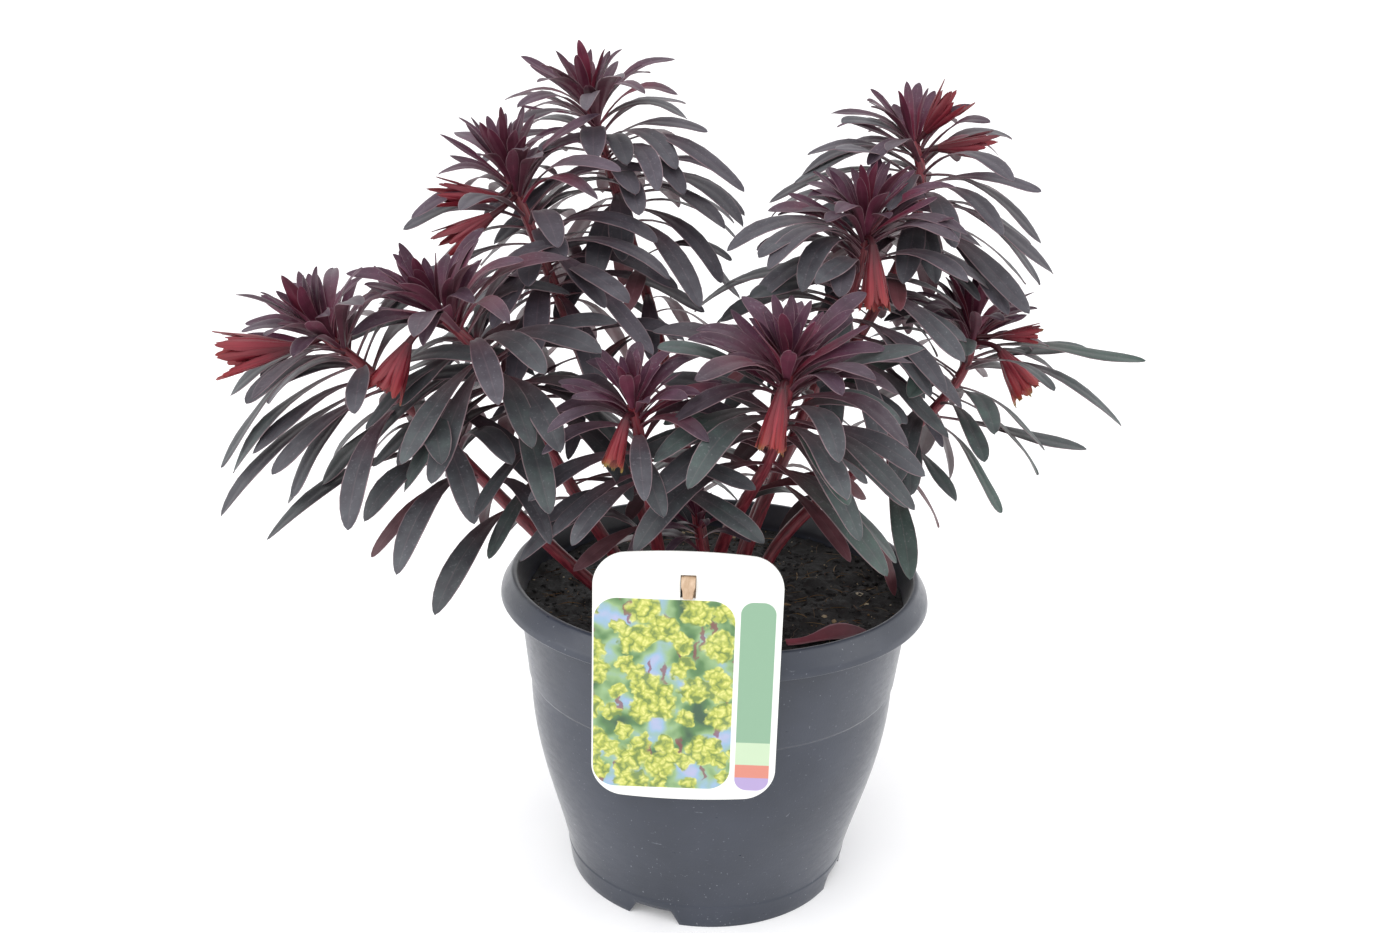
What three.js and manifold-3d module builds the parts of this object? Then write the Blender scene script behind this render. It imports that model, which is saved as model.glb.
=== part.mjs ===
import * as THREE from 'three';
import { mergeVertices } from 'three/addons/utils/BufferGeometryUtils.js';
import Module from 'manifold-3d';

// A dark-leaved spurge in a plastic nursery pot, in millimetres. The pot's axis is the Z axis, the pot
// stands on Z = 0, and the printed card hangs on the side that faces -Y.

const wasm = await Module();
wasm.setup();

// Gap between bodies that touch, and the room that a leaf keeps to what belongs to another body
const SEAT_GAP = 0.3;
const LEAF_ROOM = 0.5;

// Pot: one thin moulded shell
const POT_SIDES = 28;
const POT_WALL = 1.6;
const FOOT_RADIUS = 64;
const FOOT_FLAT = 2;
const BELT_RADIUS = 82.4;
const BELT_HEIGHT = 96.5;
const BELT_STEP = 1;
const BELT_SLOPE = 2.5;
const NECK_RADIUS = 87.6;
const MOUTH_RADIUS = 88;
const LIP_RADIUS = 90.5;
const LIP_BEVEL = 0.8;
const POT_HEIGHT = 144.7;
const COLLAR_RADIUS = 95.6;
const COLLAR_TOP_RADIUS = 95;
const COLLAR_TOP_HEIGHT = 137.6;
const COLLAR_HEIGHT = 134.6;
const COLLAR_WALL = 1.5;
const OUTSIDE_LEVELS = [12, 26, 40, 54, 70, BELT_HEIGHT];
const INSIDE_LEVELS = [40, BELT_HEIGHT + 1, 120];
const BASE_HEIGHT = 7;
const BASE_TOP = 8.8;
const DRAIN_COUNT = 4;
const DRAIN_SIDES = 6;
const DRAIN_RADIUS = 5;
const DRAIN_CIRCLE = 44;
const DRAIN_DEPTH = 6;
const NOTCH_COUNT = 4;
const NOTCH_BEARING = -20;
const NOTCH_TOP = 16;
const NOTCH_FOOT = 24;
const NOTCH_HEIGHT = 6.5;
const NOTCH_DEPTH = 14;

// Soil: fills the pot up to a low uneven top
const SOIL_TOP = 131.2;
const SOIL_RELIEF = 0.9;
const SOIL_RINGS = [0.35, 0.7, 1];
const SOIL_EDGE_ROOM = 0.2;

// Card and the pin that it hangs on
const CARD_CENTRE_X = -9.8;
const CARD_WIDTH = 72.5;
const CARD_BOTTOM = 84;
const CARD_TOP = 189.7;
const CARD_BULGE = 2.4;
const CARD_CORNER = 12;
const CARD_THICKNESS = 0.8;
const CARD_BACK_Y = -COLLAR_RADIUS - 0.4;
const SLOT_WIDTH = 6.6;
const SLOT_HEIGHT = 9.4;
const SLOT_TOP = 180.2;
const PIN_WIDTH = 5.4;
const PIN_THICKNESS = 1.6;
const PIN_Y = -78;
const PIN_FOOT = 98;
const PIN_TIP_SHARE = 0.68;

// Stems: a hexagonal shaft along a cubic curve, from its root in the soil to its crown
const STEM_SIDES = 6;
const STEM_ROOT_RADIUS = 3.1;
const STEM_CROWN_RADIUS = 2.2;
const STEM_RINGS = 8;
const LENGTH_CHORDS = 16;
const HEADING_STEP = 0.02;
const GOLDEN_ANGLE = THREE.MathUtils.degToRad(137.508);

// Blades: two edges folded up from a keel, widest at two thirds of the length
const BLADE_FOLD = 0.22;
const KEEL_DEPTH = 0.75;
const KEEL_DEPTH_TIP = 0.45;
const WIDEST_POWER = 1.75;
const FULLNESS = 0.75;
const ROOT_SCALE = 0.24;
const SMALL_STATIONS = [0, 0.7, 1];
const SHORT_STATIONS = [0, 0.47, 0.86, 1];
const LONG_STATIONS = [0, 0.32, 0.62, 0.88, 1];

// Blades turn their upper faces towards the light as they grow.
const LIGHT = new THREE.Vector3(0, -0.55, 0.83);
const LIGHT_TURN = 0.9;

// Leaves from the crown downwards. Each entry gives the value at the zone's top and at its bottom:
// distance below the tip, length, rise above the stem's square plane in degrees, droop and width.
const HEART_LEAVES = {
  below: [1, 5], length: [20, 33], rise: [84, 66], droop: [0.15, 0.4], width: [5.4, 7.6],
  petiole: 0.45, outward: 0.7, lift: 1, stations: SMALL_STATIONS,
};
const CROWN_LEAVES = {
  below: [5.5, 14], length: [36, 53], rise: [62, 28], droop: [0.5, 0.9], width: [8, 10.8],
  petiole: 0.36, outward: 0.5, lift: 1, stations: SHORT_STATIONS,
};
const SKIRT_LEAVES = {
  below: [15, 58], length: [56, 68], rise: [28, 2], droop: [0.8, 1.6], width: [11.4, 12.6],
  petiole: 0.22, outward: 0, lift: 1, stations: SHORT_STATIONS,
};
const LOWER_LEAVES = {
  below: [62, 112], length: [52, 60], rise: [24, 6], droop: [1.0, 1.7], width: [9.6, 8.4],
  petiole: 0.18, outward: 0, lift: 0.6, stations: SHORT_STATIONS,
};
const ZONES = [HEART_LEAVES, CROWN_LEAVES, SKIRT_LEAVES, LOWER_LEAVES];
const BARE_FOOT = 42;

// How far each leaf's own draw may take it from its zone's values: the turn, roll and sway in radians,
// the rise in degrees and the rest as shares
const SPREAD = { turn: 0.2, rise: 8, length: 0.13, droop: 0.25, width: 0.1, roll: 0.5, sway: 0.25 };
const OUTER_LEAF_WIDTH = 12;
const OUTER_LEAF_PETIOLE = 0.2;

// Changes that a leaf tries, in this order, until it is clear of every other body: turn round the stem
// in degrees, added droop and length factor. A leaf that finds no room is left out.
const WAYS_ROUND = [
  [0, 0, 1], [9, 0, 1], [-9, 0, 1], [0, 0.4, 1], [0, -0.4, 1], [18, 0.2, 1], [-18, 0.2, 1],
  [9, 0.7, 0.95], [-9, 0.7, 0.95], [26, 0, 0.95], [-26, 0, 0.95], [0, -0.7, 0.9], [12, 0.9, 0.85],
  [-12, 0.9, 0.85], [0, 0.3, 0.8], [34, 0.4, 0.85], [-34, 0.4, 0.85], [20, -0.6, 0.8], [-20, -0.6, 0.8],
];

// The nine stems. Each has the four points of its curve, a seed, the turn of its first leaf, how many
// leaves stand in each zone, the size of its leaves and how far its crown turns up towards the light.
// The leaves in fallen have dropped off: their numbers are counted from the crown down. Its outer leaves
// are placed one by one: distance below the tip, bearing in degrees from the back through -X, rise,
// length and droop. A bud is the neck and the tip of its bell and the mouth's radius.
const STEMS = [
  {
    path: [[-26, -10, 116], [-89, -22, 168], [-105, -33, 210], [-160, -45, 257]],
    seed: 11, turn: 0.3, counts: [6, 9, 15, 5], size: 1, upward: 0.35, fallen: [7, 10, 22, 27, 30, 32],
    outer: [
      [12, 90, -12, 76, 1.6], [19, 96, -13, 72, 1.4], [30, 103, -19, 87, 1], [8, 89, -2, 51, 1],
      [28, 108, -30, 61, 1.5], [34, 102, -20, 72, 1.5], [76, 98, 5, 91, 1.2], [85, 139, 40, 62, 1.7],
      [93, 154, 30, 69, 1.9], [114, 160, 20, 72, 1.5], [77, 219, 56, 53, 1.4],
    ],
    buds: [{ below: 3, neck: [-168, -51, 252], tip: [-198, -60, 249], mouth: 9 }],
  },
  {
    path: [[-17, -1, 116], [-60, -19, 164], [-70, -33, 226], [-112, -50, 268]],
    seed: 22, turn: 1.0, counts: [6, 9, 15, 5], size: 1, upward: 0.45, fallen: [27, 30],
    outer: [[29, 98, -14, 64, 1.1], [42, 94, -7, 64, 1.1], [21, 120, -8, 38, 1.2]],
    buds: [{ below: 5, neck: [-121, -60, 257], tip: [-130, -68, 238], mouth: 7.5 }],
  },
  {
    path: [[-13, 12, 116], [-53, 14, 207], [-60, 12, 237], [-93, 12, 315]],
    seed: 33, turn: 2.0, counts: [6, 9, 19, 5], size: 1, upward: 0.3, fallen: [13],
    outer: [[16, 104, 26, 55, 1.2]],
    buds: [
      { below: 4, neck: [-96, 4, 305], tip: [-124, -2, 307], mouth: 6 },
      { below: 9, neck: [-98, 0, 298], tip: [-119, -4, 284], mouth: 7 },
    ],
  },
  {
    path: [[-2, 20, 116], [-11, 32, 195], [-40, 46, 272], [-63, 58, 341]],
    seed: 44, turn: 0.0, counts: [6, 9, 20, 6], size: 1, upward: 0.3, fallen: [7, 15],
    outer: [
      [25, 244, 37, 78, 1.5], [39, 255, 30, 68, 1.5], [11, 292, 45, 48, 1.3], [19, 237, 37, 53, 1.5],
      [29, 226, 29, 54, 1.3], [21, 199, 39, 48, 1.4],
    ],
    buds: [],
  },
  {
    path: [[11, 20, 116], [3, 33, 183], [110, 47, 279], [82, 60, 328]],
    seed: 55, turn: 0.7, counts: [6, 9, 19, 5], size: 1, upward: 0.6, fallen: [11],
    outer: [
      [20, 263, 6, 65, 1.3], [30, 275, -6, 74, 1.3], [14, 115, 54, 49, 1.0], [20, 71, 11, 75, 0.9],
      [9, 76, 18, 61, 1.2],
    ],
    buds: [
      { below: 2, neck: [87, 58, 333], tip: [100, 54, 351], mouth: 8 },
      { below: 7, neck: [93, 58, 326], tip: [120, 56, 328], mouth: 6.5 },
    ],
  },
  {
    path: [[13, 8, 116], [-3, 7, 140], [59, 9, 248], [59, 12, 297]],
    seed: 66, turn: 1.7, counts: [6, 10, 19, 5], size: 1, upward: 0.3, fallen: [38],
    outer: [
      [10, 110, 40, 68, 1.3], [14, 121, 41, 64, 1.2], [15, 140, 51, 53, 1.6], [32, 63, 28, 84, 1.4],
      [36, 56, 21, 75, 1.3], [24, 141, 40, 58, 1.3], [6, 58, 54, 56, 1.5],
    ],
    buds: [{ below: 6, neck: [61, 0, 291], tip: [63, -8, 265], mouth: 6.5 }],
  },
  {
    path: [[4, -4, 116], [-12, -25, 180], [31, -44, 195], [25, -62, 253]],
    seed: 77, turn: 2.7, counts: [6, 10, 14, 4], size: 1.05, upward: 0.3, fallen: [21, 24, 29, 32],
    outer: [
      [30, 223, 12, 59, 2], [22, 243, 5, 65, 1.2], [26, 208, 22, 57, 1.4], [20, 121, 17, 61, 1],
      [14, 256, 43, 59, 0.6], [13, 104, 40, 57, 0.6],
    ],
    buds: [{ below: 6, neck: [23, -71, 247], tip: [19, -78, 223], mouth: 6 }],
  },
  {
    path: [[23, 4, 116], [2, 18, 169], [120, 31, 198], [113, 45, 247]],
    seed: 88, turn: 0.4, counts: [6, 9, 15, 5], size: 1, upward: 0.2, fallen: [23, 25, 28],
    outer: [
      [10, 285, 3, 91, 0.3], [5, 284, 36, 69, 1.2], [16, 273, 4, 83, 1], [49, 284, -11, 84, 0.1],
      [20, 287, 12, 69, 0.3], [8, 256, 37, 58, 0.9], [72, 193, -27, 64, 1.1], [7, 276, 27, 77, 0.7],
    ],
    buds: [
      { below: 7, neck: [125, 34, 240], tip: [139, 26, 222], mouth: 8 },
      { below: 4, neck: [127, 42, 245], tip: [145, 40, 247], mouth: 5 },
    ],
  },
  {
    path: [[-10, -12, 116], [-28, -29, 153], [-26, -47, 199], [-34, -66, 237]],
    seed: 99, turn: 1.1, counts: [6, 8, 10, 4], size: 0.85, upward: 0.3, fallen: [22, 25, 27],
    outer: [[95, 110, 67, 88, 1.6]],
    buds: [{ below: 5, neck: [-36, -72, 233], tip: [-41, -78, 215], mouth: 4.5 }],
  },
];

// Short young shoots between the stems
const SHOOTS = [
  {
    path: [[4, -20, 116], [2, -26, 135], [-6, -34, 160], [-8, -40, 184]],
    seed: 101, turn: 0.2, counts: [4, 4, 3, 0], size: 0.55, upward: 0.5, thick: 0.55, foot: 24,
    fallen: [10], outer: [], buds: [],
  },
];

// Bells of bracts
const BELL_BRACTS = 5;
const BELL_NECK_RADIUS = 1.7;
const STALK_RADIUS = 1.15;

// A bell's sections, as shares of its length and of its mouth's radius
const BELL_WAIST = { at: 0.45, ridge: 0.66, hollow: 0.5 };
const BELL_MOUTH = { hollowAt: 0.72, hollow: 0.62 };
const BELL_HEART_AT = 0.6;

// The dry leaf on the soil
const FALLEN_LEAF_FROM = [31, -52];
const FALLEN_LEAF_TO = [68, -38];
const FALLEN_LEAF_WIDTH = 11;
const FALLEN_LEAF_DEPTH = 1.2;
const FALLEN_LEAF_STATIONS = [0.02, 0.35, 0.68, 0.9, 1];
const FALLEN_LEAF_PETIOLE = 0.3;
const FALLEN_LEAF_TIP = 0.97;

const UP = new THREE.Vector3(0, 0, 1);
const BACK = new THREE.Vector3(0, 1, 0);

function vector(point) {
  return new THREE.Vector3(point[0], point[1], point[2]);
}

function along(a, b, share) {
  return a + (b - a) * share;
}

// A repeatable stream of numbers from 0 to 1, so that every build grows the same plant.
function drawFrom(seed) {
  let state = seed >>> 0;
  return () => {
    state = (Math.imul(state, 1664525) + 1013904223) >>> 0;
    return state / 4294967296;
  };
}

function spread(draw, amount) {
  return (2 * draw() - 1) * amount;
}

// A closed body through rings with equal numbers of points. An end ring may be a single point.
function loft(rings) {
  const positions = [];
  const indices = [];
  const starts = [];
  for (const ring of rings) {
    starts.push(positions.length / 3);
    ring.forEach((p) => positions.push(p.x, p.y, p.z));
  }
  const sides = Math.max(...rings.map((ring) => ring.length));
  const corner = (ring, side) => starts[ring] + (rings[ring].length === 1 ? 0 : side % sides);
  for (let ring = 0; ring + 1 < rings.length; ring += 1) {
    for (let side = 0; side < sides; side += 1) {
      if (rings[ring].length > 1) {
        indices.push(corner(ring, side), corner(ring, side + 1), corner(ring + 1, side));
      }
      if (rings[ring + 1].length > 1) {
        indices.push(corner(ring, side + 1), corner(ring + 1, side + 1), corner(ring + 1, side));
      }
    }
  }
  const last = rings.length - 1;
  for (let side = 1; side + 1 < sides; side += 1) {
    if (rings[0].length > 1) indices.push(corner(0, 0), corner(0, side + 1), corner(0, side));
    if (rings[last].length > 1) indices.push(corner(last, 0), corner(last, side), corner(last, side + 1));
  }
  const geometry = new THREE.BufferGeometry();
  geometry.setAttribute('position', new THREE.Float32BufferAttribute(positions, 3));
  geometry.setIndex(indices);
  return geometry;
}

function toSolid(geometry) {
  const bare = geometry.clone();
  bare.deleteAttribute('normal');
  bare.deleteAttribute('uv');
  const merged = mergeVertices(bare, 1e-4);
  return new wasm.Manifold(new wasm.Mesh({
    numProp: 3,
    vertProperties: new Float32Array(merged.attributes.position.array),
    triVerts: new Uint32Array(merged.index.array),
  }));
}

function toGeometry(solid) {
  const mesh = solid.getMesh();
  const geometry = new THREE.BufferGeometry();
  geometry.setAttribute('position', new THREE.BufferAttribute(new Float32Array(mesh.vertProperties), 3));
  geometry.setIndex(new THREE.BufferAttribute(new Uint32Array(mesh.triVerts), 1));
  return geometry;
}

function join(geometries) {
  return geometries.map(toSolid).reduce((whole, piece) => whole.add(piece));
}

// Keeps the largest connected body: hollows sealed by the joining are filled and scraps are dropped.
function keepMainBody(geometry) {
  const index = geometry.index.array;
  const position = geometry.attributes.position;
  const parent = Array.from({ length: position.count }, (_, i) => i);
  const rootOf = (i) => {
    let top = i;
    while (parent[top] !== top) {
      parent[top] = parent[parent[top]];
      top = parent[top];
    }
    return top;
  };
  for (let i = 0; i < index.length; i += 3) {
    parent[rootOf(index[i])] = rootOf(index[i + 1]);
    parent[rootOf(index[i + 1])] = rootOf(index[i + 2]);
  }
  const volumes = new Map();
  const [a, b, c] = [new THREE.Vector3(), new THREE.Vector3(), new THREE.Vector3()];
  for (let i = 0; i < index.length; i += 3) {
    a.fromBufferAttribute(position, index[i]);
    b.fromBufferAttribute(position, index[i + 1]);
    c.fromBufferAttribute(position, index[i + 2]);
    const body = rootOf(index[i]);
    volumes.set(body, (volumes.get(body) ?? 0) + a.dot(b.cross(c)) / 6);
  }
  const main = [...volumes].sort((one, other) => other[1] - one[1])[0][0];
  const kept = [];
  for (let i = 0; i < index.length; i += 3) {
    if (rootOf(index[i]) === main) kept.push(index[i], index[i + 1], index[i + 2]);
  }
  const body = new THREE.BufferGeometry();
  body.setAttribute('position', position.clone());
  body.setIndex(kept);
  return mergeVertices(body, 1e-5);
}

function lathe(profile) {
  const points = profile.map(([radius, height]) => new THREE.Vector2(radius, height));
  return new THREE.LatheGeometry(points, POT_SIDES).rotateX(Math.PI / 2);
}

// The outer wall's radius: a slow start over the foot, a steeper middle and an almost upright belt,
// as the square of a sine. Above the belt's step it widens evenly to the neck.
function wallRadius(height) {
  if (height <= BELT_HEIGHT) {
    const swell = Math.sin((Math.PI / 2) * (height / BELT_HEIGHT) ** 0.8) ** 2;
    return FOOT_RADIUS + (BELT_RADIUS - FOOT_RADIUS) * swell;
  }
  const share = (height - BELT_HEIGHT) / (COLLAR_HEIGHT - BELT_HEIGHT);
  return along(BELT_RADIUS + BELT_STEP, NECK_RADIUS, share);
}

function insideRadius(height) {
  return wallRadius(height) - POT_WALL;
}

function makePot() {
  const outside = OUTSIDE_LEVELS.map((z) => [wallRadius(z), z]);
  const inside = [...INSIDE_LEVELS].reverse().map((z) => [insideRadius(z), z]);
  const shell = lathe([
    [0, BASE_HEIGHT],
    [FOOT_RADIUS - POT_WALL, BASE_HEIGHT],
    [FOOT_RADIUS - FOOT_FLAT, 0],
    [FOOT_RADIUS, 0],
    ...outside,
    [BELT_RADIUS + BELT_STEP, BELT_HEIGHT + BELT_SLOPE],
    [NECK_RADIUS, COLLAR_HEIGHT],
    [NECK_RADIUS, COLLAR_TOP_HEIGHT],
    [COLLAR_TOP_RADIUS - COLLAR_WALL, COLLAR_TOP_HEIGHT - 1],
    [COLLAR_RADIUS - COLLAR_WALL, COLLAR_HEIGHT],
    [COLLAR_RADIUS, COLLAR_HEIGHT],
    [COLLAR_TOP_RADIUS, COLLAR_TOP_HEIGHT],
    [LIP_RADIUS, POT_HEIGHT],
    [MOUTH_RADIUS + LIP_BEVEL, POT_HEIGHT],
    [MOUTH_RADIUS, POT_HEIGHT - LIP_BEVEL],
    [NECK_RADIUS - POT_WALL, COLLAR_HEIGHT],
    ...inside,
    [insideRadius(BASE_TOP), BASE_TOP],
    [0, BASE_TOP],
  ]);
  let solid = toSolid(shell);
  for (let i = 0; i < DRAIN_COUNT; i += 1) {
    solid = solid.subtract(toSolid(drainHole((i * 2 * Math.PI) / DRAIN_COUNT)));
  }
  for (let i = 0; i < NOTCH_COUNT; i += 1) {
    const bearing = THREE.MathUtils.degToRad(NOTCH_BEARING) + (i * 2 * Math.PI) / NOTCH_COUNT;
    solid = solid.subtract(toSolid(footNotch(bearing)));
  }
  return toGeometry(solid);
}

function drainHole(bearing) {
  const hole = new THREE.CylinderGeometry(DRAIN_RADIUS, DRAIN_RADIUS, DRAIN_DEPTH, DRAIN_SIDES);
  hole.rotateX(Math.PI / 2);
  return hole.translate(DRAIN_CIRCLE * Math.cos(bearing), DRAIN_CIRCLE * Math.sin(bearing), BASE_HEIGHT);
}

// A trapezoid cut through the foot ring. Bearing 0 is the front, and it grows towards +X.
function footNotch(bearing) {
  const outline = new THREE.Shape([
    new THREE.Vector2(-NOTCH_FOOT / 2, -1),
    new THREE.Vector2(NOTCH_FOOT / 2, -1),
    new THREE.Vector2(NOTCH_TOP / 2, NOTCH_HEIGHT),
    new THREE.Vector2(-NOTCH_TOP / 2, NOTCH_HEIGHT),
  ]);
  const cut = new THREE.ExtrudeGeometry(outline, { depth: NOTCH_DEPTH, bevelEnabled: false });
  return cut.rotateX(Math.PI / 2).translate(0, NOTCH_DEPTH / 2 - FOOT_RADIUS, 0).rotateZ(bearing);
}

// The soil's top: two slow waves on a level that falls a little towards the front left.
function soilHeight(x, y) {
  const waves = Math.sin(0.11 * x + 0.4) * Math.cos(0.13 * y) + 0.5 * Math.sin(0.23 * y - 0.17 * x);
  return SOIL_TOP + SOIL_RELIEF * waves - 1.2 * Math.max(0, -x - y) / 100;
}

function makeSoil(holes) {
  const edge = (z) => insideRadius(z) - SEAT_GAP;
  const levels = [BASE_TOP + SEAT_GAP, ...INSIDE_LEVELS];
  const circle = (radius, height) => Array.from({ length: POT_SIDES }, (_, i) => {
    const angle = (i * 2 * Math.PI) / POT_SIDES;
    const [x, y] = [-radius * Math.sin(angle), radius * Math.cos(angle)];
    return new THREE.Vector3(x, y, height ?? soilHeight(x, y));
  });
  const sides = levels.map((z) => circle(edge(z), z));
  const top = [...SOIL_RINGS].reverse().map((share) => circle(share * (edge(SOIL_TOP) - SOIL_EDGE_ROOM)));
  let solid = toSolid(loft([...sides, ...top, [new THREE.Vector3(0, 0, soilHeight(0, 0))]]));
  for (const hole of holes) {
    solid = solid.subtract(toSolid(hole));
  }
  return toGeometry(solid);
}

function cardOutline() {
  const [left, right] = [-CARD_WIDTH / 2, CARD_WIDTH / 2];
  const [low, high] = [CARD_BOTTOM + CARD_BULGE, CARD_TOP - CARD_BULGE];
  const outline = new THREE.Shape();
  outline.moveTo(left + CARD_CORNER, low);
  outline.quadraticCurveTo(0, CARD_BOTTOM - CARD_BULGE, right - CARD_CORNER, low);
  outline.quadraticCurveTo(right, low, right, low + CARD_CORNER);
  outline.lineTo(right, high - CARD_CORNER);
  outline.quadraticCurveTo(right, high, right - CARD_CORNER, high);
  outline.quadraticCurveTo(0, CARD_TOP + CARD_BULGE, left + CARD_CORNER, high);
  outline.quadraticCurveTo(left, high, left, high - CARD_CORNER);
  outline.lineTo(left, low + CARD_CORNER);
  outline.quadraticCurveTo(left, low, left + CARD_CORNER, low);
  return outline;
}

function makeCard() {
  const outline = cardOutline();
  const half = SLOT_WIDTH / 2;
  outline.holes.push(new THREE.Path([
    new THREE.Vector2(-half, SLOT_TOP),
    new THREE.Vector2(-half, SLOT_TOP - SLOT_HEIGHT),
    new THREE.Vector2(half, SLOT_TOP - SLOT_HEIGHT),
    new THREE.Vector2(half, SLOT_TOP),
  ]));
  const settings = { depth: CARD_THICKNESS, bevelEnabled: false, curveSegments: 5 };
  const card = new THREE.ExtrudeGeometry(outline, settings).rotateX(Math.PI / 2);
  return card.translate(CARD_CENTRE_X, CARD_BACK_Y, 0);
}

// The pin: a flat strip that stands in the soil behind the card, bends over and hooks through its slot.
function pinRings(grow) {
  const hook = SLOT_TOP - PIN_THICKNESS / 2 - SEAT_GAP;
  const front = CARD_BACK_Y - CARD_THICKNESS;
  const route = [
    [PIN_Y, PIN_FOOT, 0], [PIN_Y, hook - 14, 0], [PIN_Y - 1.5, hook - 5, 20], [PIN_Y - 6, hook - 0.6, 62],
    [front - 0.2, hook, 96], [front - 2.2, hook - 2, 150], [front - 2.4, hook - 7.5, 178],
  ];
  return route.map(([y, z, lean], i) => {
    const angle = THREE.MathUtils.degToRad(lean);
    const half = (i === route.length - 1 ? PIN_TIP_SHARE : 1) * (PIN_WIDTH / 2) + grow;
    const deep = PIN_THICKNESS / 2 + grow;
    const [ny, nz] = [Math.cos(angle) * deep, Math.sin(angle) * deep];
    const drop = i === 0 ? grow : 0;
    const at = (x, side) => new THREE.Vector3(CARD_CENTRE_X + x * half, y + side * ny, z + side * nz - drop);
    return [at(-1, -1), at(1, -1), at(1, 1), at(-1, 1)];
  });
}

function stemCurve(stem) {
  return new THREE.CubicBezierCurve3(...stem.path.map(vector));
}

function stemLength(curve) {
  let total = 0;
  for (let i = 0; i < LENGTH_CHORDS; i += 1) {
    total += curve.getPoint(i / LENGTH_CHORDS).distanceTo(curve.getPoint((i + 1) / LENGTH_CHORDS));
  }
  return total;
}

function stemHeading(curve, share) {
  const ahead = curve.getPoint(Math.min(share + HEADING_STEP, 1));
  return ahead.sub(curve.getPoint(share - HEADING_STEP)).normalize();
}

function stemRings(stem, grow) {
  const curve = stemCurve(stem);
  const thick = stem.thick ?? 1;
  return Array.from({ length: STEM_RINGS + 1 }, (_, i) => {
    const share = i / STEM_RINGS;
    const heading = stemHeading(curve, Math.max(share, HEADING_STEP));
    const side = BACK.clone().addScaledVector(heading, -heading.y).normalize();
    const other = heading.clone().cross(side);
    const radius = along(STEM_ROOT_RADIUS, STEM_CROWN_RADIUS, share) * thick + grow;
    const centre = curve.getPoint(share);
    if (i === 0) centre.addScaledVector(heading, -grow);
    return Array.from({ length: STEM_SIDES }, (_, k) => {
      const angle = (k * 2 * Math.PI) / STEM_SIDES;
      return centre.clone().addScaledVector(side, radius * Math.cos(angle))
        .addScaledVector(other, radius * Math.sin(angle));
    });
  });
}

function widthShare(share, petiole) {
  const neck = petiole * (1 - share);
  return neck + (1 - neck) * Math.sin(Math.PI * share ** WIDEST_POWER) ** FULLNESS;
}

// The middle line of a blade: it sets out along its heading and bends further with every step.
function bladeLine(blade) {
  const points = [blade.root.clone()];
  const headings = [];
  for (let i = 0; i + 1 < blade.stations.length; i += 1) {
    const [from, to] = [blade.stations[i], blade.stations[i + 1]];
    const heading = blade.heading.clone().addScaledVector(blade.bend, (blade.droop * (from + to)) / 2);
    heading.normalize();
    headings.push(heading);
    points.push(points[i].clone().addScaledVector(heading, blade.length * (to - from)));
  }
  return { points, headings };
}

// The sections of a blade. The root's section is a smaller copy of the next one, so that the petiole
// has flat sides.
function bladeRings(blade, grow) {
  const { points, headings } = bladeLine(blade);
  const last = points.length - 1;
  return points.map((point, i) => {
    if (i === last) return [point.addScaledVector(headings[last - 1], 2 * grow)];
    const station = Math.max(i, 1);
    const scale = i === 0 ? ROOT_SCALE : 1;
    const share = blade.stations[station];
    const heading = headings[station - 1].clone().add(headings[station]).normalize();
    const turned = blade.across.clone().applyAxisAngle(heading, blade.roll * share);
    const lit = heading.clone().cross(turned).normalize().addScaledVector(LIGHT, LIGHT_TURN * share);
    const across = lit.cross(heading).normalize();
    const face = heading.clone().cross(across);
    const half = (scale * blade.width * widthShare(share, blade.petiole)) / 2;
    const keel = scale * along(KEEL_DEPTH, KEEL_DEPTH_TIP, share) + grow;
    const edge = (side) => point.clone().addScaledVector(across, side * (half + grow))
      .addScaledVector(face, BLADE_FOLD * half + grow);
    return [edge(1), edge(-1), point.clone().addScaledVector(face, -keel)];
  });
}

// The leaves of a stem, from the crown down, each turned on by the golden angle.
function stemBlades(stem) {
  const curve = stemCurve(stem);
  const length = stemLength(curve);
  const draw = drawFrom(stem.seed);
  const blades = [];
  ZONES.forEach((zone, level) => {
    const lowest = Math.min(zone.below[1], length - (stem.foot ?? BARE_FOOT));
    for (let i = 0; i < stem.counts[level]; i += 1) {
      const share = (i + 0.5) / stem.counts[level];
      const between = (pair) => along(pair[0], pair[1], share);
      const at = 1 - along(zone.below[0], lowest, share) / length;
      const axis = stemHeading(curve, at).lerp(UP, stem.upward * zone.lift).normalize();
      const side = BACK.clone().addScaledVector(axis, -axis.y).normalize();
      blades.push({
        root: curve.getPoint(at),
        axis,
        side,
        turn: stem.turn + blades.length * GOLDEN_ANGLE + spread(draw, SPREAD.turn),
        rise: THREE.MathUtils.degToRad(between(zone.rise) + spread(draw, SPREAD.rise)),
        length: between(zone.length) * stem.size * (1 + spread(draw, SPREAD.length)),
        droop: between(zone.droop) * (1 + spread(draw, SPREAD.droop)),
        width: between(zone.width) * stem.size * (1 + spread(draw, SPREAD.width)),
        roll: spread(draw, SPREAD.roll),
        sway: spread(draw, SPREAD.sway),
        petiole: zone.petiole,
        outward: zone.outward,
        stations: zone.stations,
        level: level + 1,
      });
    }
  });
  return [...outerBlades(stem), ...blades.filter((_, number) => !stem.fallen?.includes(number))];
}

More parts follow.
